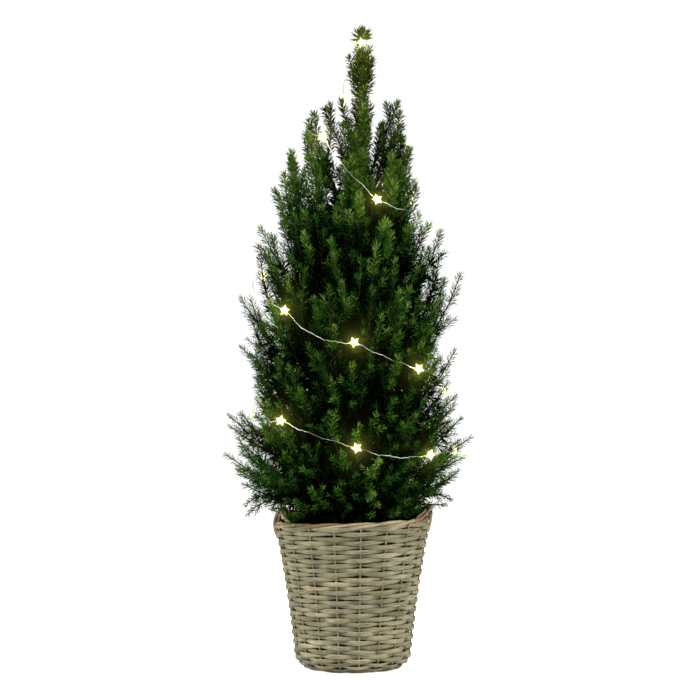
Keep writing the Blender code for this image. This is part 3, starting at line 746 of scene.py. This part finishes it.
def crown_reach(z):
    """Half of the crown's width at heights z, a slim leader above the trunk's tip."""
    left, right = outline_at(z)
    return np.where(z > TRUNK_TOP, LEADER_REACH, 0.5 * (left + right))


def crown_edge(z, angle):
    """How far the crown reaches from the trunk's middle line at heights z and compass angles."""
    left, right = outline_at(z)
    shift = np.where(z > TRUNK_TOP, 0.0, 0.5 * (right - left) - TRUNK_LEAN * (z - SOIL_TOP))
    return crown_reach(z) + shift * np.cos(angle)


def meeting_height(height, slope):
    """The height at which a sloping boundary meets the crown's outline, by repeated halving."""
    low, high = height, CROWN_TOP
    for _ in range(30):
        middle = 0.5 * (low + high)
        if height + slope * crown_reach(middle) > middle:
            low = middle
        else:
            high = middle
    return low


def bent(first, middle, last):
    """Curves of STATIONS points that leave the first one towards the middle one and end at the last:
    for each share s from 0 to 1 the point (1-s)^2 first + 2 s (1-s) middle + s^2 last."""
    s = np.linspace(0.0, 1.0, STATIONS)[:, None]
    first, middle, last = (p[:, None] for p in (first, middle, last))
    return (1.0 - s) ** 2 * first + 2.0 * s * (1.0 - s) * middle + s * s * last


def path_lengths(lines):
    """Lengths of paths, point by point."""
    return np.linalg.norm(np.diff(lines, axis=1), axis=-1).sum(axis=1)


def at_share(lines, share, owner=slice(None)):
    """What a grid of STATIONS values holds at shares along its lines. owner picks the lines."""
    place = np.clip(share, 0.0, 0.9999) * (STATIONS - 1)
    whole = place.astype(int)
    part = (place - whole)[:, None]
    rows = np.arange(len(lines))[owner]
    return lines[rows, whole] * (1.0 - part) + lines[rows, whole + 1] * part


def crown_place(points):
    """For points, the trunk's middle line at their height, the level way out to them, how far that
    is, and how far the crown reaches there."""
    axis = trunk_axis(points[..., 2])
    level = points - axis
    edge = crown_edge(points[..., 2], np.arctan2(level[..., 1], level[..., 0]))
    return axis, level, np.linalg.norm(level, axis=-1), edge


def within_outline(points, room):
    """Points brought straight inwards until they are at least `room` inside the crown's outline."""
    axis, level, reach, edge = crown_place(points)
    return axis + level * np.minimum(1.0, (edge - room) / np.maximum(reach, 1e-6))[..., None]


def leaning(root, tip, bend_angle, turned_off, least):
    """Boughs from a root to a tip, both (height, reach, angle), that end at their height's lean and
    some degrees off it. The bend lies half of the straight way back from the tip along that lean,
    at no less than a share of the tip's reach."""
    lean = np.radians(np.interp(tip[0], LEAN_HEIGHTS, LEANS) + turned_off)
    span = 0.5 * np.hypot(tip[0] - root[0], tip[1] - root[1])
    bend_reach = np.maximum(tip[1] - span * np.sin(lean), least * tip[1])
    bend = placed(tip[0] - span * np.cos(lean), bend_reach, bend_angle)
    return bent(placed(*root), bend, placed(*tip))


def from_trunk(foot, bend, tip, angle):
    """Shoots from the trunk's middle line at heights, by a bend to a tip, both (height, reach)."""
    return bent(placed(foot, 0.0, angle), placed(*bend, angle), placed(*tip, angle))


def grow_mass(foot, middle, half_width, floor, roof, boughs, rng):
    """One mass: the stem that the solids have, and the boughs that fork from it. The boughs' tips
    are spread over the mass's part of the crown's outline, closer together round the leader, and
    every fourth one is deeper inside. Returns the stem, the boughs and their tips' share of the
    crown's reach."""
    low = meeting_height(*floor) - TIP_DROP
    high = meeting_height(*roof) - TIP_DROP
    k = np.arange(boughs)
    tip_height = low + (high - low) * (k + 0.5 + rng.uniform(-0.35, 0.35, boughs)) / boughs
    spread = half_width * np.interp(tip_height, (0.62, 0.67), (1.0, 0.45))
    tip_angle = middle + spread * (2.0 * ((rng.random() + GOLDEN_SHARE * k) % 1.0) - 1.0)
    least = np.interp(tip_height, (0.3, 0.5), (0.88, 0.8))
    share = np.where(k % 4 == 3, 0.66, least + rng.uniform(0.0, 0.15, boughs))
    tip_reach = share * crown_edge(tip_height, tip_angle) - 0.002
    stem_height = foot + (0.5 * (low + high) - foot) * 0.45
    stem_reach = 0.5 * float(crown_edge(stem_height, middle))
    start = float(trunk_radius(np.array(foot)))

    def on_stem(way, first_reach):
        rise = (stem_height - foot) * way ** STEM_RISE
        return foot + rise, first_reach + (stem_reach - first_reach) * way, middle

    fork = on_stem(0.1 + 0.9 * (k + 0.5) / boughs, start)
    tip = (tip_height, tip_reach, tip_angle)
    turned_off = rng.normal(0.0, 12.0, boughs)
    lines = leaning(fork, tip, middle + 0.8 * (tip_angle - middle), turned_off, 0.4)
    stem = placed(*on_stem(np.linspace(0.0, 1.0, STATIONS), 0.5 * start))
    return stem[None], lines, share


def grow_standing_out(rng):
    """Boughs that spring from the trunk and whose tips stand out of the crown: those at its two
    sides, and the same ones turned round the trunk by parts of a half turn, one part near the top
    and four below. Returns them and their tips' share of the crown's reach."""
    tips = np.array(STANDING_OUT)
    high = tips[:, 1] >= OPEN_HEIGHT
    sets = [(tips, 0.0), (tips[high], 0.5)] + [(tips[~high], part / 5.0) for part in range(1, 5)]
    reach, height = np.concatenate([some for some, _ in sets]).T
    turn = np.concatenate([np.full(len(some), part) for some, part in sets])
    turned = turn > 0.0
    height = height - 0.005 + turned * rng.normal(0.0, 0.012, len(turn))
    side = np.where(reach > 0.0, 0.0, math.pi)
    angle = side + math.pi * turn + rng.normal(0.0, 0.12, len(turn))
    edge = crown_edge(height, angle)
    reach = np.where(turned, np.abs(reach) * edge / crown_edge(height, side), np.abs(reach)) - 0.001
    foot = np.clip(height - 0.1 - 0.6 * reach, LOWEST_FOOT, None)
    turned_off = 8.0 + rng.normal(0.0, 7.0, len(turn))
    return leaning((foot, 0.0, angle), (height, reach, angle), angle, turned_off, 0.35), reach / edge


def grow_boughs(rng):
    """The stems and boughs of all masses, tier by tier, the boughs that stand out of them and
    three that hang by the ears. Returns stems, boughs and the tips' share of the crown's reach."""
    grown = []
    for level, (foot, columns, count) in enumerate(TIERS):
        (floor, floor_slope), (roof, roof_slope) = BOUNDARIES[level:level + 2]
        for column in range(columns):
            drop = -0.5 * ODD_DROP if columns == 8 and column % 2 else 0.0
            grown.append(grow_mass(foot + drop, TAU * column / columns, math.pi / columns,
                                   (floor + drop * (level > 0), floor_slope),
                                   (roof + drop, roof_slope), count, rng))
    stems, boughs, depth = (np.concatenate(part) for part in zip(*grown))
    out, out_depth = grow_standing_out(rng)
    hanging = bent(*np.array(HANGING).swapaxes(0, 1))
    depth = np.concatenate([depth, out_depth, [0.95] * len(hanging)])
    return stems, np.concatenate([boughs, out, hanging]), depth


def grow_inner_twigs(rng):
    """Short twigs that spring from the trunk by the golden turn up to the crown's narrow part, and
    longer ones at its foot that droop over the compost."""
    k = np.arange(INNER_TWIGS)
    foot = np.linspace(0.214, 0.59, INNER_TWIGS)
    reach = 0.36 * crown_reach(foot) * rng.uniform(0.7, 1.2, INNER_TWIGS)
    bend, tip = (foot + 0.3 * reach, 0.6 * reach), (foot + 0.9 * reach, reach)
    twigs = from_trunk(foot, bend, tip, GOLDEN_TURN * k)
    k = np.arange(UNDER_SHOOTS)
    foot = 0.202 + 0.0002 * k
    reach = 0.056 + 0.034 * (GOLDEN_SHARE * k % 1.0)
    tip = (rng.uniform(0.184, 0.199, UNDER_SHOOTS), reach)
    drooping = from_trunk(foot, (foot + 0.01, 0.6 * reach), tip, GOLDEN_TURN * k)
    return np.concatenate([twigs, drooping])


def grow_side_shoots(boughs, rng):
    """Side shoots all round the outer part of each bough, the longer the further from its tip. They
    open by about 50 degrees low down and 26 near the top, and turn forward again. Near the top most
    are left out, so that the spires stand apart. Returns them and the boughs they are on."""
    along, side, over = across(boughs)
    lengths = path_lengths(boughs)
    pace = rng.uniform(0.85, 1.25, len(boughs)) * np.interp(boughs[:, -1, 2], (0.45, 0.65), (1.0, 1.9))
    start = rng.uniform(0.0, TAU, len(boughs))
    found, kept = [], []
    for k, place in enumerate(SIDE_PLACES):
        to_tip = place * pace
        share = np.maximum(1.0 - to_tip / lengths, 0.06)
        root, way, level, up = (at_share(v, share) for v in (boughs, along, side, over))
        out = between(level, up, start + GOLDEN_TURN * k)
        opening = np.interp(root[:, 2], (0.4, 0.6), (50.0, 26.0)) + rng.normal(0.0, 7.0, len(boughs))
        opening = np.radians(opening)
        half = 0.5 * (0.01 + 0.28 * to_tip)[:, None]
        bend = root + half * between(way, out, opening)
        tip = bend + half * (between(way, out, 0.7 * opening) + 0.25 * UP)
        keep = rng.random(len(boughs)) < np.interp(root[:, 2], (0.56, 0.62), (1.0, SPIRE_SHOOTS))
        found.append(bent(root, bend, within_outline(tip, -0.004))[keep])
        kept.append(np.flatnonzero(keep))
    return np.concatenate(found), np.concatenate(kept)


def grow_leader(rng):
    """The leader, straight on from the trunk, the short shoots close round it above its neck, and
    the buds round its tip."""
    z = np.linspace(TRUNK_TOP - 0.13, CROWN_TOP - 0.014, STATIONS)
    shoots, buds = np.arange(LEADER_SHOOTS), np.ones(LEADER_BUDS)
    girth = np.interp(shoots, (0.0, 7.0, 11.0, 14.0), (0.75, 1.0, 0.9, 0.4))
    foot = np.linspace(LEADER_NECK - 0.006, LEADER_NECK + 0.043, LEADER_SHOOTS)
    foot = np.append(foot, (CROWN_TOP - 0.024) * buds)
    length = np.append(np.linspace(0.034, 0.022, LEADER_SHOOTS), 0.008 * buds)
    reach = np.append(0.0155 * girth * rng.uniform(0.55, 1.4, LEADER_SHOOTS), 0.006 * buds)
    bend, tip = (foot + 0.45 * length, 0.8 * reach), (foot + length, reach)
    grown = from_trunk(foot, bend, tip, GOLDEN_TURN * np.arange(len(foot)))
    return np.concatenate([trunk_axis(z)[None], grown])


def needle_points(lines, start, end, per_metre, swell, rng):
    """Needles set in a spiral round each line, from one share of it to another.

    A needle is a three-sided spindle: its root on the line, three corners at 0.58 of its length
    and its tip. Needle k of a line stands at the turn k * 137.5 degrees, bent forward from the line
    by 54 degrees and by less near the tip. `swell` widens the needles, in full only deep inside the
    crown and below its narrow part. Returns the points, (count, 5, 3), and for each needle its
    line, how far it stands from the line's tip and its share of the crown's reach."""
    lengths = path_lengths(lines)
    top = TOP_PER_METRE / NEEDLES_PER_METRE
    richer = np.interp(lines[:, -1, 2], (0.52, 0.66, 0.74, 0.77), (1.0, top, top, 0.9 * top))
    counts = np.maximum(6, lengths * (end - start) * per_metre * richer).astype(int)
    owner = np.repeat(np.arange(len(lines)), counts)
    order = np.arange(len(owner)) - np.repeat(np.cumsum(counts) - counts, counts)
    share = 1.0 - (1.0 - (order + rng.uniform(0.1, 0.9, len(owner))) / counts[owner]) ** 1.2
    share = start[owner] + (end - start)[owner] * share
    to_tip = (1.0 - share) * lengths[owner]
    root, along, side, over = (at_share(v, share, owner) for v in (lines, *across(lines)))
    along = unit(along)
    turn = GOLDEN_TURN * order + rng.normal(0.0, 0.5, len(owner))
    forward = np.interp(to_tip, (0.0, 0.003, 0.008, 0.03), (24.0, 38.0, 48.0, 54.0))
    forward = np.radians(forward + rng.normal(0.0, 12.0, len(owner)))
    way = between(along, unit(between(side, over, turn)), forward)
    size = np.interp(root[:, 2], (0.3, 0.62, 0.8, 0.81),
                     (NEEDLE_LENGTH, TOP_NEEDLE_LENGTH, TOP_NEEDLE_LENGTH, TIP_NEEDLE_LENGTH))
    size = size * rng.uniform(0.78, 1.12, len(owner)) * np.interp(to_tip, (0.0, 0.006), (0.85, 1.0))
    _, _, reach, edge = crown_place(root)
    depth = reach / edge
    low_down = np.interp(root[:, 2], (0.54, 0.62), (1.0, 0.3))
    inside = np.interp(depth, (0.74, 0.88), (1.0, 0.2))
    swell = 1.0 + (swell - 1.0) * low_down * inside
    size = size * (0.7 + 0.3 * swell)
    half = 0.5 * swell * np.interp(root[:, 2], (0.48, 0.62), (NEEDLE_WIDTH, TOP_NEEDLE_WIDTH))
    half = half * rng.uniform(0.85, 1.15, len(owner))
    first = unit(np.cross(way, along + 0.3 * UP))
    spin = rng.uniform(0.0, TAU, len(owner))[:, None] + even_angles(3)
    ring = between(first[:, None], np.cross(way, first)[:, None], spin)
    root, length = root[:, None], (size[:, None] * way)[:, None]
    waist = root + 0.58 * length + half[:, None, None] * ring
    return np.concatenate([root, waist, root + length], axis=1), owner, to_tip, depth


def make_needles(lines, inner, start, green, shades, rng):
    """The needles as pieces, one finish each. A needle has its line's own shade or a neighbour of
    it, the step picked at random as painted highlight or shade on single needles. It is brighter
    near the line's tip, where the growth is new, and darker behind it, partly as older needles and
    mostly as painted shade, and darker deep inside the crown, a painted shade. Those hidden low in
    the crown and those on the inner twigs are the darkest, a painted shade that closes the crown's
    inside, and many near the top are olive, in part painted warm light of the stars."""
    ones, inner_ones = np.ones(len(lines)), np.ones(len(inner))
    sets = (needle_points(lines, green, ones, NEEDLES_PER_METRE, 1.0, rng),
            needle_points(lines, start, green, INNER_PER_METRE, INNER_SWELL, rng),
            needle_points(inner, 0.1 * inner_ones, inner_ones, TWIG_PER_METRE, INNER_SWELL, rng))
    points, owner, to_tip, depth = (np.concatenate(part) for part in zip(*sets))
    fresh = rng.uniform(0.003, 0.012, len(lines))
    height = points[:, 0, 2]
    # Brighter at the new tips; darker behind them, partly older needles and mostly painted shade.
    shade = shades[owner] + (to_tip < fresh[owner]) - (to_tip > 0.045) - (to_tip > GREEN_LENGTH)
    # Painted shade: needles deep inside the crown, below its open top, are darker.
    shade = shade - (height <= OPEN_HEIGHT) * ((depth < 0.74).astype(int) + (depth < 0.55))
    # Painted highlight and shade on single needles: a random step up or down.
    each = rng.random(len(points))
    shade = shade + (each > 0.8) - (each < 0.32)
    # Painted shade: the hidden needles deep and low in the crown, and all on the inner twigs, take the
    # darkest green.
    hidden = np.arange(len(points)) >= len(sets[0][1])
    shade[hidden & (depth < 0.8) & (height < SWOLLEN_HEIGHT)] = 0
    shade[-len(sets[2][1]):] = 0
    shade = np.clip(shade, 0, OLIVE - 1)
    # Olive near the top, in part the stars' warm light painted on.
    olive = np.interp(height, (0.6, 0.68, 0.76), (0.0, 0.42, 0.85))
    shade[(shade > 0) & (rng.random(len(points)) < olive)] = OLIVE
    made = []
    for number, (name, colour, sheen) in enumerate(NEEDLE_GREENS):
        chosen = points[shade == number]
        finished, _, _ = finish(name, 0.5, colour, specular=sheen)
        parts = np.array_split(chosen, math.ceil(len(chosen) / MOST_NEEDLES))
        for part, some in enumerate(parts):
            faces = repeated(NEEDLE_FACES, 5, len(some))
            made.append(piece(f"{name}_{part + 1}", some, faces, finished, smooth=False))
    return made


def taper(lines, root, tip):
    """Radii along lines, in even steps from the root's to the tip's."""
    return np.broadcast_to(np.linspace(root, tip, STATIONS), lines.shape[:2])


def make_crown(rng):
    """Everything that grows: boughs and shoots with their needles, and the wood that bears them. A
    bough's needles are painted lit the more often, the higher it ends, as by light from above, and
    never deep inside, where painted shade falls; a side shoot has its bough's shade or the next
    darker one."""
    stems, boughs, depth = grow_boughs(rng)
    side_shoots, bearer = grow_side_shoots(boughs, rng)
    leader = grow_leader(rng)
    # Painted light from above and painted shade inside: high boughs near the outside get the lit greens
    # more often, low and deep ones the shaded greens.
    lit = np.interp(boughs[:, -1, 2], (0.2, 0.45, 0.6, 0.72), (0.05, 0.22, 0.48, 0.75))
    shade = 1 + (depth > 0.75) * (rng.random(len(boughs)) < lit + 0.45)
    shade = shade + (shade > 1) * (rng.random(len(boughs)) < 0.7 * lit)
    side_shade = shade[bearer] - (rng.random(len(side_shoots)) < 0.4)
    lines = np.concatenate([boughs, side_shoots, leader])
    shades = np.concatenate([shade, side_shade, np.full(len(leader), 2)])
    lengths = path_lengths(lines)
    needled = np.interp(lines[:, -1, 2], (0.5, 0.64), (NEEDLED_LENGTH, TOP_NEEDLED_LENGTH))
    start = np.clip(1.0 - needled / lengths, SHOOT_START, 1.0)
    start[len(boughs):] = SHOOT_START
    green = np.full(len(lines), GREEN_LENGTH)
    green[:len(boughs)][depth > OUTER_SHARE] = OUTER_GREEN_LENGTH
    green = np.clip(1.0 - green / lengths, start, 1.0)
    green[-len(leader)] = SHOOT_START
    inner = grow_inner_twigs(rng)
    pieces = make_needles(lines, inner, start, green, shades, rng)
    old = np.concatenate([stems, boughs])
    radii = np.concatenate([taper(stems, STEM_RADIUS, 0.0018), taper(boughs, 0.0019, 0.0006)])
    thin = np.concatenate([side_shoots, leader[1:], inner])
    first, last = slice(0, YOUNG_FROM + 1), slice(YOUNG_FROM, None)
    wood = (("boughs_wood", old[:, first], radii[:, first], 5, OLD_WOOD_PAINTED_DARK),
            ("bough_ends_wood", old[:, last], radii[:, last], 4, YOUNG_WOOD),
            ("twigs_wood", thin, taper(thin, 0.0007, 0.0004), 3, YOUNG_WOOD),
            ("leader_wood", leader[:1], taper(leader[:1], 0.0026, 0.0009), 8, YOUNG_WOOD))
    for name, paths, widths, sides, bark in wood:
        points, faces, _ = tubes(paths, widths, sides)
        pieces.append(piece(name, points, faces, bark))
    return pieces


# String of lights


def string_places():
    """Angle, height and reach along the string, finely spaced, and the stars' numbers in them. The
    wire sags by 4 s (1 - s) of a span's sag at its share s, ripples, and lies a little inside the
    crown's edge, where it dips in and out."""
    degrees, heights, sags = np.array(STARS).T
    angle = np.radians(degrees - 90.0)
    per_span = 60
    knots = np.arange(len(STARS))
    fine = np.arange((len(STARS) - 1) * per_span + 1) / per_span
    span, swing = np.minimum(fine.astype(int), len(STARS) - 2), fine % 1.0
    sag = sags[span] * 4.0 * swing * (1.0 - swing)
    a = np.interp(fine, knots, angle)
    z = np.interp(fine, knots, heights) - sag
    a = a + 0.004 * np.sin(2.0 * TAU * fine)
    z = z + 0.0008 * np.sin(3.0 * TAU * fine) + 0.0003 * np.sin(10.0 * TAU * fine)
    dip = np.interp(z, (0.45, 0.6), (0.032, 0.01)) * np.cos(math.pi * (fine - 8.4))
    reach = (np.interp(z, (0.3, 0.42), (0.89, 0.94)) + dip) * crown_edge(z, a)
    return a, z, smoothed(reach, 41), knots * per_span


def star_outline(t):
    """Radius of a five-armed star against the angle t, as a share of its arms' reach: the straight
    line from an arm's tip to the waist beside it, repeated by folding t."""
    fold = np.abs((t + math.pi / 5.0) % (TAU / 5.0) - math.pi / 5.0)
    return STAR_WAIST * math.sin(math.pi / 5.0) / (
        STAR_WAIST * np.sin(math.pi / 5.0 - fold) + np.sin(fold))


def make_stars(centres, angles, rng):
    """Puffy stars, each facing out of the crown and a little to its front. With t the angle round a
    star, R(t) its outline and b from the back to the front, a point is at R(t) * cos(b)^0.8 across
    and D * sin(b) * (1 + cos(5 t)^2 / 4) deep."""
    around, deep = 50, 9
    t = even_angles(around)
    b = np.linspace(-0.5, 0.5, deep + 2)[1:-1, None] * math.pi
    flat = STAR_RADIUS * star_outline(t) * np.cos(b) ** 0.8
    thick = STAR_DEPTH * np.sin(b) * (1.0 + 0.25 * np.cos(5.0 * t) ** 2)
    rings = ring_points(flat, t, thick)
    local, faces = closed_skin(rings, -STAR_DEPTH * UP, STAR_DEPTH * UP)
    facing = angles - 0.45 * np.cos(angles) + rng.normal(0.0, 0.15, len(angles))
    face_way = unit(outward(facing) + 0.15 * UP)
    level = unit(np.cross(UP, face_way))
    x_way = between(level, np.cross(face_way, level), rng.uniform(0.0, TAU, len(angles)))
    ways = np.stack([x_way, np.cross(face_way, x_way), face_way], axis=1)
    points = centres[:, None] + local @ ways
    heart = 1.0 - np.linalg.norm(local[:, :2], axis=-1) / STAR_RADIUS
    faces = repeated(faces, len(local), len(centres))
    piece("star_lights", points, faces, star_finish(), tone=np.tile(heart, len(centres)))


def make_lights(rng):
    """The wire as two strands turned round each other, the stars on it and a small lamp in each."""
    a, z, reach, at_stars = string_places()
    line = placed(z, reach, a)
    run = np.append(0.0, np.cumsum(np.linalg.norm(np.diff(line, axis=0), axis=1)))
    fine = np.linspace(0.0, run[-1], int(run[-1] / (WIRE_LAY / 6.0)))
    middle = np.stack([np.interp(fine, run, line[:, k]) for k in range(3)], -1)[None]
    strands = twisted_pair(middle, 1.05 * WIRE_RADIUS, TAU * fine / WIRE_LAY)
    points, faces, _ = tubes(np.concatenate(strands), WIRE_RADIUS, 4)
    piece("light_string", points, faces, wire_finish())
    angles = a[at_stars]
    centres = line[at_stars] + 0.002 * outward(angles)
    make_stars(centres, angles, rng)
    for number, place in enumerate(centres + 0.008 * outward(angles)):
        lamp = bpy.data.lights.new(f"star_glow_{number}", "POINT")
        lamp.energy, lamp.color, lamp.shadow_soft_size = STAR_WATTS, STAR_COLOUR, STAR_LAMP_SIZE
        add_object(lamp.name, lamp, place)


# Studio


def add_soft_lamp(name, place, target, size, power):
    """A square lamp turned to a target."""
    lamp = bpy.data.lights.new(name, "AREA")
    lamp.energy, lamp.size = power, size
    x, y, z = np.subtract(target, place)
    turn = math.atan2(y, x) - 0.5 * math.pi
    add_object(name, lamp, place).rotation_euler = (math.atan2(math.hypot(x, y), -z), 0.0, turn)


def add_star_glow(scene):
    """A soft warm halo round whatever shines far brighter than the white surround."""
    scene.use_nodes = True
    tree = scene.node_tree
    tree.nodes.clear()
    layers = tree.nodes.new("CompositorNodeRLayers")
    glow = tree.nodes.new("CompositorNodeGlare")
    glow.glare_type = "BLOOM"
    glow.quality = "HIGH"
    set_sockets(glow, Image=layers.outputs["Image"], **HALO)
    set_sockets(tree.nodes.new("CompositorNodeComposite"), Image=glow.outputs["Image"])


def seen_level(tree, lit, seen):
    """A strength for a white surround: `lit` where it lights the plant, `seen` where it shows."""
    rays = tree.nodes.new("ShaderNodeLightPath")
    level = add_node(tree, "MapRange", Value=rays.outputs["Is Camera Ray"], To_Min=lit, To_Max=seen)
    return level.outputs["Result"]


def make_studio():
    """A wide white floor, an even white surround that shows brighter than it lights, and soft lamps."""
    scene = bpy.context.scene
    mesh = bpy.data.meshes.new("floor")
    mesh.from_pydata([(-6, -6, 0), (6, -6, 0), (6, 6, 0), (-6, 6, 0)], [], [(0, 1, 2, 3)])
    white, tree, shader = finish("white_floor", 0.9, (0.8, 0.8, 0.8), specular=0.0)
    set_sockets(shader, Emission_Color=WHITE, Emission_Strength=seen_level(tree, *FLOOR_LEVELS))
    mesh.materials.append(white)
    floor = add_object("floor", mesh)
    world = bpy.data.worlds.new("studio")
    world.use_nodes = True
    tree = world.node_tree
    set_sockets(tree.nodes["Background"], Color=WHITE, Strength=seen_level(tree, *SKY_LEVELS))
    scene.world = world
    for lamp in LAMPS:
        add_soft_lamp(*lamp)
    scene.view_settings.view_transform = "Standard"
    add_star_glow(scene)
    lens = bpy.data.cameras.new("camera")
    lens.sensor_width = SENSOR_WIDTH
    lens.lens = SENSOR_WIDTH * FOCAL_PIXELS / PICTURE_PIXELS
    camera = add_object("camera", lens, CAMERA_PLACE)
    camera.rotation_euler = (0.5 * math.pi, 0.0, 0.0)
    scene.camera = camera


WILLOW = rod_finish("weathered_willow", (
    (0.0, (0.135, 0.125, 0.062)), (0.3, (0.195, 0.178, 0.095)), (0.5, (0.21, 0.2, 0.125)),
    (0.75, (0.275, 0.235, 0.14)), (1.0, (0.31, 0.295, 0.195))), 0.72, 40.0, 12.0)
BORDER_WILLOW = rod_finish("round_willow_rods", (
    (0.0, (0.13, 0.1, 0.05)), (0.3, (0.26, 0.15, 0.07)), (0.5, (0.25, 0.205, 0.11)),
    (0.75, (0.33, 0.26, 0.15)), (1.0, (0.42, 0.37, 0.24))), 0.6, 60.0, 7.0)
# Old bark, near black: partly its own darker colour, partly painted shade of the crown's inside.
OLD_WOOD_PAINTED_DARK = twig_finish("old_bough_wood_painted_dark", (0.006, 0.004, 0.002), (0.026, 0.017, 0.008))
YOUNG_WOOD = twig_finish("young_twig_wood", (0.03, 0.018, 0.006), (0.11, 0.058, 0.02))


def main():
    rng = np.random.default_rng(SEED)
    for woven in (make_weave(rng), make_stakes(rng), make_foot_hoop(rng)):
        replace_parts(woven, "basket")
    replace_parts(make_border(rng), "border")
    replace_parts(make_ear("right", 0.0, rng), "ear_right")
    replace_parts(make_ear("left", math.pi, rng), "ear_left")
    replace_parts(make_compost(rng), "compost")
    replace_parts(make_trunk(rng), "trunk")
    masses = [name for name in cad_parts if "needles" in name]
    for grown in make_crown(rng):
        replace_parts(grown, *masses)
    make_lights(rng)
    make_studio()


main()


def corners(box):
    """A box as plain lists."""
    return [[float(c) for c in corner] for corner in box]
